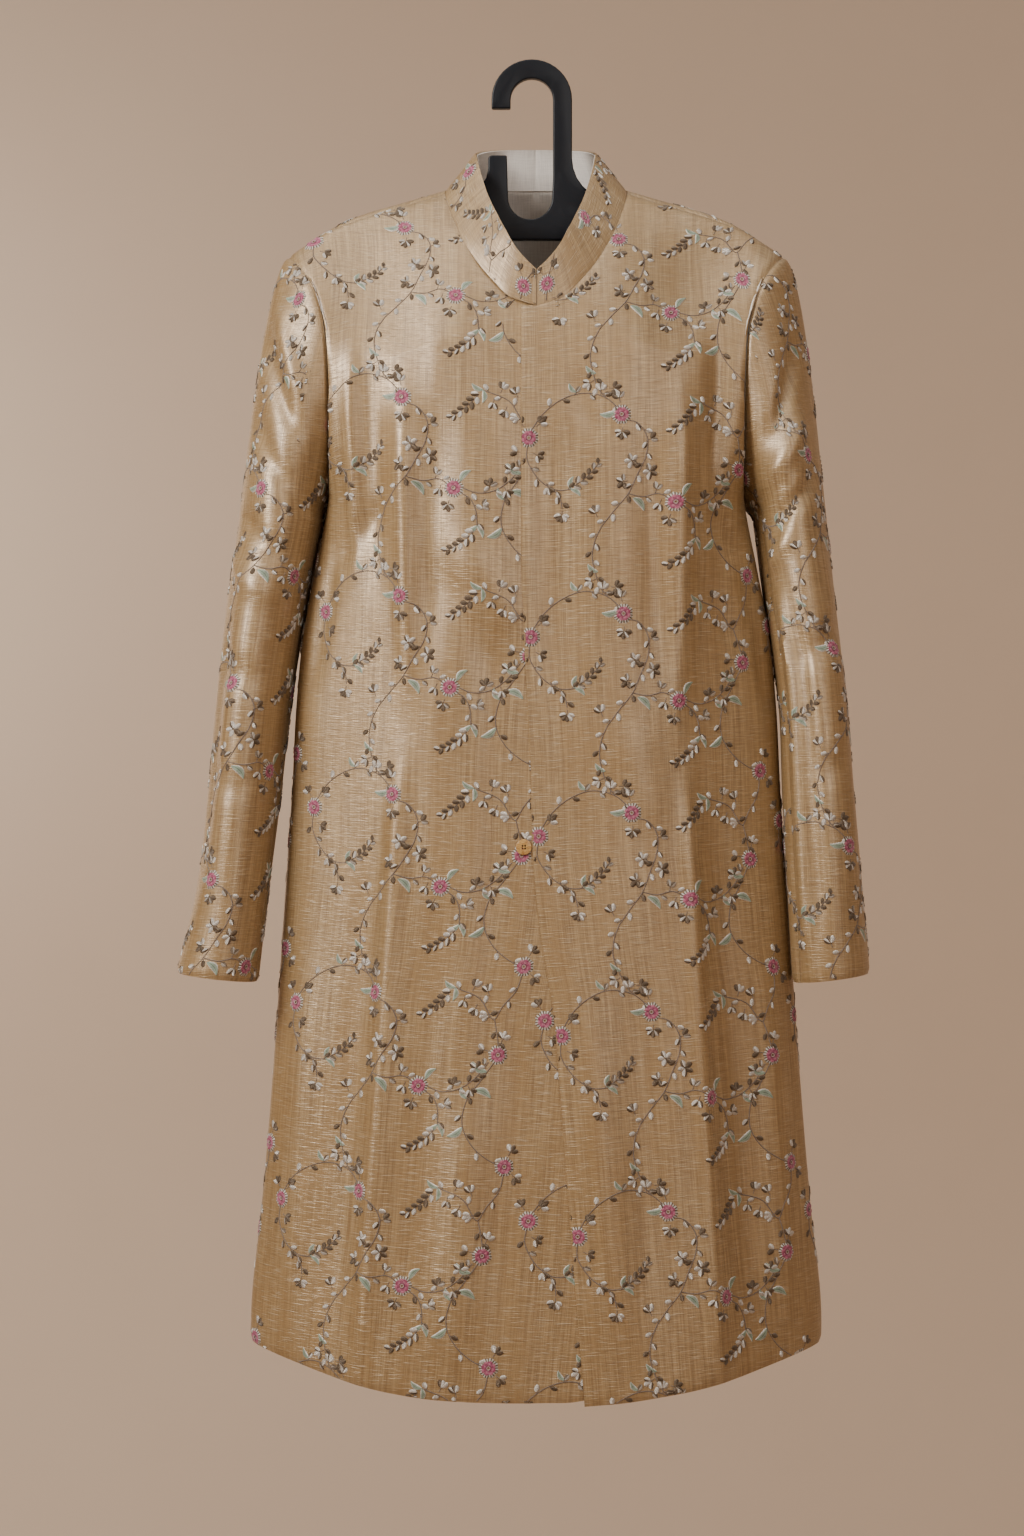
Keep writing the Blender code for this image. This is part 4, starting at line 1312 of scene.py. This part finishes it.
def lay_sheet(name, rows, flat, wall, outer, inner, turned=False, split=False):
    """A cloth piece: a grid laid on the rows, walled on its inner side. turned is for -X pieces, whose
    rows run inwards, and split for a piece in two halves joined below the neck."""
    count, columns = rows.shape[0] - 1, rows.shape[1] - 1
    deselect()
    bpy.ops.mesh.primitive_grid_add(x_subdivisions=columns, y_subdivisions=count, size=2)
    obj = bpy.context.object
    obj.name = obj.data.name = name
    mesh = obj.data
    across, up = grid_shares(mesh)
    row = np.round(up * count).astype(int)
    place = np.round(across * columns).astype(int)
    mesh.vertices.foreach_set("co", rows[row, place].ravel())
    while mesh.uv_layers:
        mesh.uv_layers.remove(mesh.uv_layers[0])
    uv = mesh.uv_layers.new(name="Cloth")
    corner = np.empty(len(mesh.loops), int)
    mesh.loops.foreach_get("vertex_index", corner)
    s, t = flat
    uv.data.foreach_set("uv", np.stack([s[row, place], t[row, place]], -1)[corner].ravel())
    mesh.materials.append(outer)
    mesh.materials.append(inner)
    if turned:
        mesh.flip_normals()
    if split:
        open_strip(obj, np.isclose(place[corner].reshape(-1, 4).mean(axis=1), columns / 2))
    mesh.update()
    solidify = obj.modifiers.new("Wall", "SOLIDIFY")
    solidify.thickness = wall
    solidify.offset = -1
    solidify.material_offset = 1
    apply_modifiers(obj)
    obj.data.shade_smooth()
    obj.data.set_sharp_from_angle(angle=math.radians(50))
    return obj


def cut_size(flat, split):
    """The width and length of a piece's cut, and its flat area, without the neck of a split one."""
    s, t = flat
    quads = (s[1:, 1:] - s[:-1, :-1]) * (t[1:, :-1] - t[:-1, 1:])
    quads -= (s[1:, :-1] - s[:-1, 1:]) * (t[1:, 1:] - t[:-1, :-1])
    if split:
        quads = np.delete(quads, quads.shape[1] // 2, axis=1)
    return (np.ptp(s), np.ptp(t)), abs(quads.sum()) / 2


def settle(obj, node):
    """Puts a piece on the coat's one body, in the place of its node."""
    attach(obj, "root")
    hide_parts(node)


MOST_OF_BOX = 0.999  # of its flat box, the most that a sheet's area can be; finish_sheet works this out and does nothing more with it


def finish_sheet(obj, node, flat, split):
    settle(obj, node)
    size, area = cut_size(flat, split)
    most = MOST_OF_BOX * size[0] * size[1]


def make_silk(name):
    cloth = cloths()[name]
    wall = bpy.context.scene.sherwani_cloth.silk_wall
    split = cloth.gap is not None
    flat = (cloth.s, cloth.t)
    paints = silk_paint(), lining_paint()
    obj = lay_sheet(f"silk_{name}", cloth.rows, flat, wall, *paints, cloth.side < 0, split)
    finish_sheet(obj, name, flat, split)


def inner_sheet(name, cloth, rows, columns):
    """A lining inside part of a silk piece."""
    walls = bpy.context.scene.sherwani_cloth
    inward = walls.silk_wall + GAP
    cut = cloth.rows[rows, columns] - cloth.normals[rows, columns] * inward
    flat = (cloth.s[rows, columns], cloth.t[rows, columns])
    split = cloth.gap is not None
    paint = lining_paint()
    obj = lay_sheet(f"satin_{name}", cut, flat, walls.lining_wall, paint, paint, split=split)
    finish_sheet(obj, name, flat, split)


class SherwaniCloth(bpy.types.PropertyGroup):
    """The cloths' walls and tones."""

    silk_wall: FloatProperty(
        name="Silk wall", description="Silk with its interlining", default=0.0018, unit="LENGTH"
    )
    lining_wall: FloatProperty(
        name="Lining wall", description="Satin lining", default=0.0010, unit="LENGTH"
    )
    silk_light: FloatVectorProperty(
        name="Silk, lit yarns",
        description="Colour of the yarns on top",
        default=(0.52, 0.365, 0.190),
        subtype="COLOR",
    )
    silk_dark: FloatVectorProperty(
        name="Silk, deep yarns",
        description="Colour of the yarns below",
        default=(0.245, 0.148, 0.060),
        subtype="COLOR",
    )
    silk_grey: FloatVectorProperty(
        name="Silk slubs",
        description="Colour of the thick yarns",
        default=(0.62, 0.50, 0.345),
        subtype="COLOR",
    )
    silk_ochre: FloatVectorProperty(
        name="Silk bands",
        description="Colour of the deeper bands",
        default=(0.34, 0.205, 0.078),
        subtype="COLOR",
    )


class SherwaniStage(bpy.types.PropertyGroup):
    """The floor and the lamps."""

    floor_drop: FloatProperty(
        name="Floor", description="Depth of the floor below the rod", default=3.5, unit="LENGTH"
    )
    key_power: FloatProperty(
        name="Key", description="Power of the key lamp", default=84, unit="POWER"
    )
    fill_power: FloatProperty(
        name="Fill", description="Power of the fill lamp", default=26, unit="POWER"
    )
    top_power: FloatProperty(
        name="Top", description="Power of the overhead lamp", default=25, unit="POWER"
    )
    backdrop_power: FloatProperty(
        name="Backdrop", description="Power of the lamp on the backdrop", default=84, unit="POWER"
    )


class SHERWANI_OT_fronts(bpy.types.Operator):
    """Lay the two fronts, the wearer's left one on top"""

    bl_idname = "sherwani.fronts"
    bl_label = "Fronts"

    def execute(self, context):
        make_silk("front_right")
        make_silk("front_left")
        return {"FINISHED"}


class SHERWANI_OT_back(bpy.types.Operator):
    """Lay the back"""

    bl_idname = "sherwani.back"
    bl_label = "Back"

    def execute(self, context):
        make_silk("back")
        return {"FINISHED"}


class SHERWANI_OT_sleeves(bpy.types.Operator):
    """Lay the two pieces of each sleeve"""

    bl_idname = "sherwani.sleeves"
    bl_label = "Sleeves"

    def execute(self, context):
        for side in ("left", "right"):
            make_silk(f"sleeve_{side}_top")
            make_silk(f"sleeve_{side}_under")
        return {"FINISHED"}


class SHERWANI_OT_collar(bpy.types.Operator):
    """Stand the collar round the neckline, with its lining"""

    bl_idname = "sherwani.collar"
    bl_label = "Collar"

    def execute(self, context):
        make_silk("collar")
        inner_sheet("collar_lining", cloths()["collar"], slice(None), slice(None))
        return {"FINISHED"}


class SHERWANI_OT_back_lining(bpy.types.Operator):
    """Lay the lining that shows inside the neck"""

    bl_idname = "sherwani.back_lining"
    bl_label = "Back lining"

    def execute(self, context):
        lower, below, _ = BACK_COUNTS
        half = BACK_COLUMNS // 2
        columns = slice(BACK_COLUMNS - half, BACK_COLUMNS + half + 2)
        inner_sheet("back_lining", cloths()["back"], slice(lower + below // 2, None), columns)
        return {"FINISHED"}


class SHERWANI_OT_embroidery(bpy.types.Operator):
    """Embroider every silk piece with the trailing vine"""

    bl_idname = "sherwani.embroidery"
    bl_label = "Embroidery"

    def execute(self, context):
        drawing = Drawing(np.random.default_rng(11))
        paint = thread_paint()
        kinds = {
            "flowers": ((flower_motif(), drawing.flowers),),
            "leaves": ((leaf_motif(), drawing.leaves),),
            "seeds": (
                # The seeds' silver halves are painted glints on brown zari thread.
                (seed_motif(ZARI, ZARI), drawing.seeds),
                (seed_motif(SILVER_AND_GLINT, ZARI), drawing.pale_seeds),
                (seed_motif(SILVER_AND_GLINT, SILVER_AND_GLINT), drawing.whole_glint_seeds),
            ),
            "stems": tuple((stem, [(0, 0, 0, 1)]) for stem in drawing.stems),
        }
        for group, names in EMBROIDERED.items():
            for kind, motifs in kinds.items():
                work = Stitchery()
                for name in names:
                    cloth = cloths()[name]
                    offsets = cells(cloth, PATTERN_START[name])
                    for motif, places in motifs:
                        if kind == "stems":
                            found = np.array([(x, y, 0, 1) for x, y in offsets])
                        else:
                            found = spread(cloth, places, offsets)
                        work.add(cloth, motif, found)
                obj = work.build(f"embroidered_{kind}_{group}", paint)
                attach(obj, "root")
        return {"FINISHED"}


def rounded_piece(node, name, width, paint):
    """A CAD node's shape with rounded edges and its finish."""
    deselect()
    obj = frame["nodes"][node].copy()
    obj.data = obj.data.copy()
    obj.parent = None
    for key in list(obj.keys()):
        del obj[key]
    obj.name = obj.data.name = name
    bpy.context.collection.objects.link(obj)
    merge(obj, 0.00001, lambda: bpy.ops.mesh.dissolve_limited(angle_limit=math.radians(1)))
    bevel = obj.modifiers.new("Round", "BEVEL")
    bevel.width = width
    bevel.segments = 3
    bevel.limit_method = "ANGLE"
    bevel.angle_limit = math.radians(60)
    apply_modifiers(obj)
    obj.data.shade_smooth()
    obj.data.set_sharp_from_angle(angle=math.radians(35))
    obj.data.materials.clear()
    obj.data.materials.append(paint)
    settle(obj, node)


class SHERWANI_OT_hanger(bpy.types.Operator):
    """Mould the hanger"""

    bl_idname = "sherwani.hanger"
    bl_label = "Hanger"

    def execute(self, context):
        rounded_piece("hanger", "moulded_hanger", 0.0014, plastic_paint())
        return {"FINISHED"}


class SHERWANI_OT_button(bpy.types.Operator):
    """Turn the button"""

    bl_idname = "sherwani.button"
    bl_label = "Button"

    def execute(self, context):
        rounded_piece("button", "horn_button", 0.0003, horn_paint())
        return {"FINISHED"}


FLOOR_RUN, FLOOR_FLAT, BOWL_RADIUS = 16.0, 5.5, 2.0  # the floor's profile, and where it turns up
FLOOR_DARK, FLOOR_PALE = (0.72, 0.565, 0.43), (0.76, 0.605, 0.47)
CENTRE = (0, 0, -0.60)
LAMPS = {  # place, where it shines, size and colour
    "key": ((-1.95, -1.6, 0.75), (-0.1, 0, -0.45), (0.9, 1.2), (1.0, 0.97, 0.92)),
    "fill": ((1.3, -3.0, 0.5), CENTRE, (1.6, 2.2), (1.0, 0.96, 0.92)),
    "top": ((-0.3, -0.8, 2.2), CENTRE, (2.4, 1.6), (1.0, 0.97, 0.93)),
    "backdrop": ((-3.4, 5.2, 0.3), (-1.6, 7.4, -0.4), (1.6, 1.6), (1.0, 0.98, 0.95)),
}
SKY, SKY_STRENGTH = (1.0, 0.94, 0.87, 1.0), 0.42
LENS, FILM_WIDTH = 74.4, 36
VIEWPOINT = (-0.0187, -3.0, -0.651)


def area_lamp(name, power, place, target, size, colour):
    deselect()
    bpy.ops.object.light_add(type="AREA", location=place)
    lamp = bpy.context.object
    lamp.name = name
    lamp.rotation_euler = (Vector(target) - Vector(place)).to_track_quat("-Z", "Y").to_euler()
    lamp.data.shape = "RECTANGLE"
    lamp.data.size, lamp.data.size_y = size
    lamp.data.energy = power
    lamp.data.color = colour


class SHERWANI_OT_stage(bpy.types.Operator):
    """Set the floor, the lamps and the camera"""

    bl_idname = "sherwani.stage"
    bl_label = "Stage"

    def execute(self, context):
        stage = context.scene.sherwani_stage
        deselect()
        bpy.ops.mesh.primitive_grid_add(x_subdivisions=96, y_subdivisions=40, size=2)
        floor = context.object
        floor.name = "floor"
        round_floor, out = grid_shares(floor.data)
        angle, run = round_floor * 2 * math.pi, out * FLOOR_RUN
        rise = np.clip(run - FLOOR_FLAT, 0, None)
        turn = np.clip(rise / BOWL_RADIUS, 0, math.pi / 2)
        radius = np.minimum(run, FLOOR_FLAT) + BOWL_RADIUS * np.sin(turn)
        above = np.clip(rise - BOWL_RADIUS * math.pi / 2, 0, None)
        height = BOWL_RADIUS * (1 - np.cos(turn)) + above - stage.floor_drop
        points = np.stack([radius * np.cos(angle), radius * np.sin(angle), height], -1)
        floor.data.vertices.foreach_set("co", points.ravel())
        merge(floor, 0.0001, lambda: bpy.ops.mesh.normals_make_consistent(inside=True))
        floor.data.shade_smooth()
        paint = Paint("floor_paint", Roughness=0.9)
        grain = paint.noise(paint.objects(), 3.0, 4.0)
        floor.data.materials.append(paint.finish(paint.blend(grain * 0.5, FLOOR_DARK, FLOOR_PALE)))
        for name, lamp in LAMPS.items():
            area_lamp(name, getattr(stage, f"{name}_power"), *lamp)
        world = bpy.data.worlds.new("studio")
        context.scene.world = world
        world.use_nodes = True
        sky = world.node_tree.nodes["Background"].inputs
        sky["Color"].default_value, sky["Strength"].default_value = SKY, SKY_STRENGTH
        camera = bpy.data.cameras.new("camera")
        camera.lens, camera.sensor_width = LENS, FILM_WIDTH
        viewer = bpy.data.objects.new("camera", camera)
        viewer.location = VIEWPOINT
        viewer.rotation_euler = (math.pi / 2, 0, 0)
        context.scene.collection.objects.link(viewer)
        context.scene.camera = viewer
        return {"FINISHED"}


STEPS = (
    SHERWANI_OT_fronts,
    SHERWANI_OT_back,
    SHERWANI_OT_sleeves,
    SHERWANI_OT_collar,
    SHERWANI_OT_back_lining,
    SHERWANI_OT_embroidery,
    SHERWANI_OT_hanger,
    SHERWANI_OT_button,
    SHERWANI_OT_stage,
)


class SHERWANI_PT_panel(bpy.types.Panel):
    """The steps that make the coat"""

    bl_idname = "SHERWANI_PT_panel"
    bl_label = "Sherwani"
    bl_space_type = "VIEW_3D"
    bl_region_type = "UI"
    bl_category = "Sherwani"

    def draw(self, context):
        for step in STEPS:
            self.layout.operator(step.bl_idname)


CLASSES = (SherwaniCloth, SherwaniStage, *STEPS, SHERWANI_PT_panel)


def register():
    for made in CLASSES:
        bpy.utils.register_class(made)
    bpy.types.Scene.sherwani_cloth = PointerProperty(type=SherwaniCloth)
    bpy.types.Scene.sherwani_stage = PointerProperty(type=SherwaniStage)


def unregister():
    del bpy.types.Scene.sherwani_stage
    del bpy.types.Scene.sherwani_cloth
    for made in reversed(CLASSES):
        bpy.utils.unregister_class(made)


def main():
    register()
    for step in STEPS:
        group, name = step.bl_idname.split(".")
        getattr(getattr(bpy.ops, group), name)()


if __name__ == "__main__":
    main()
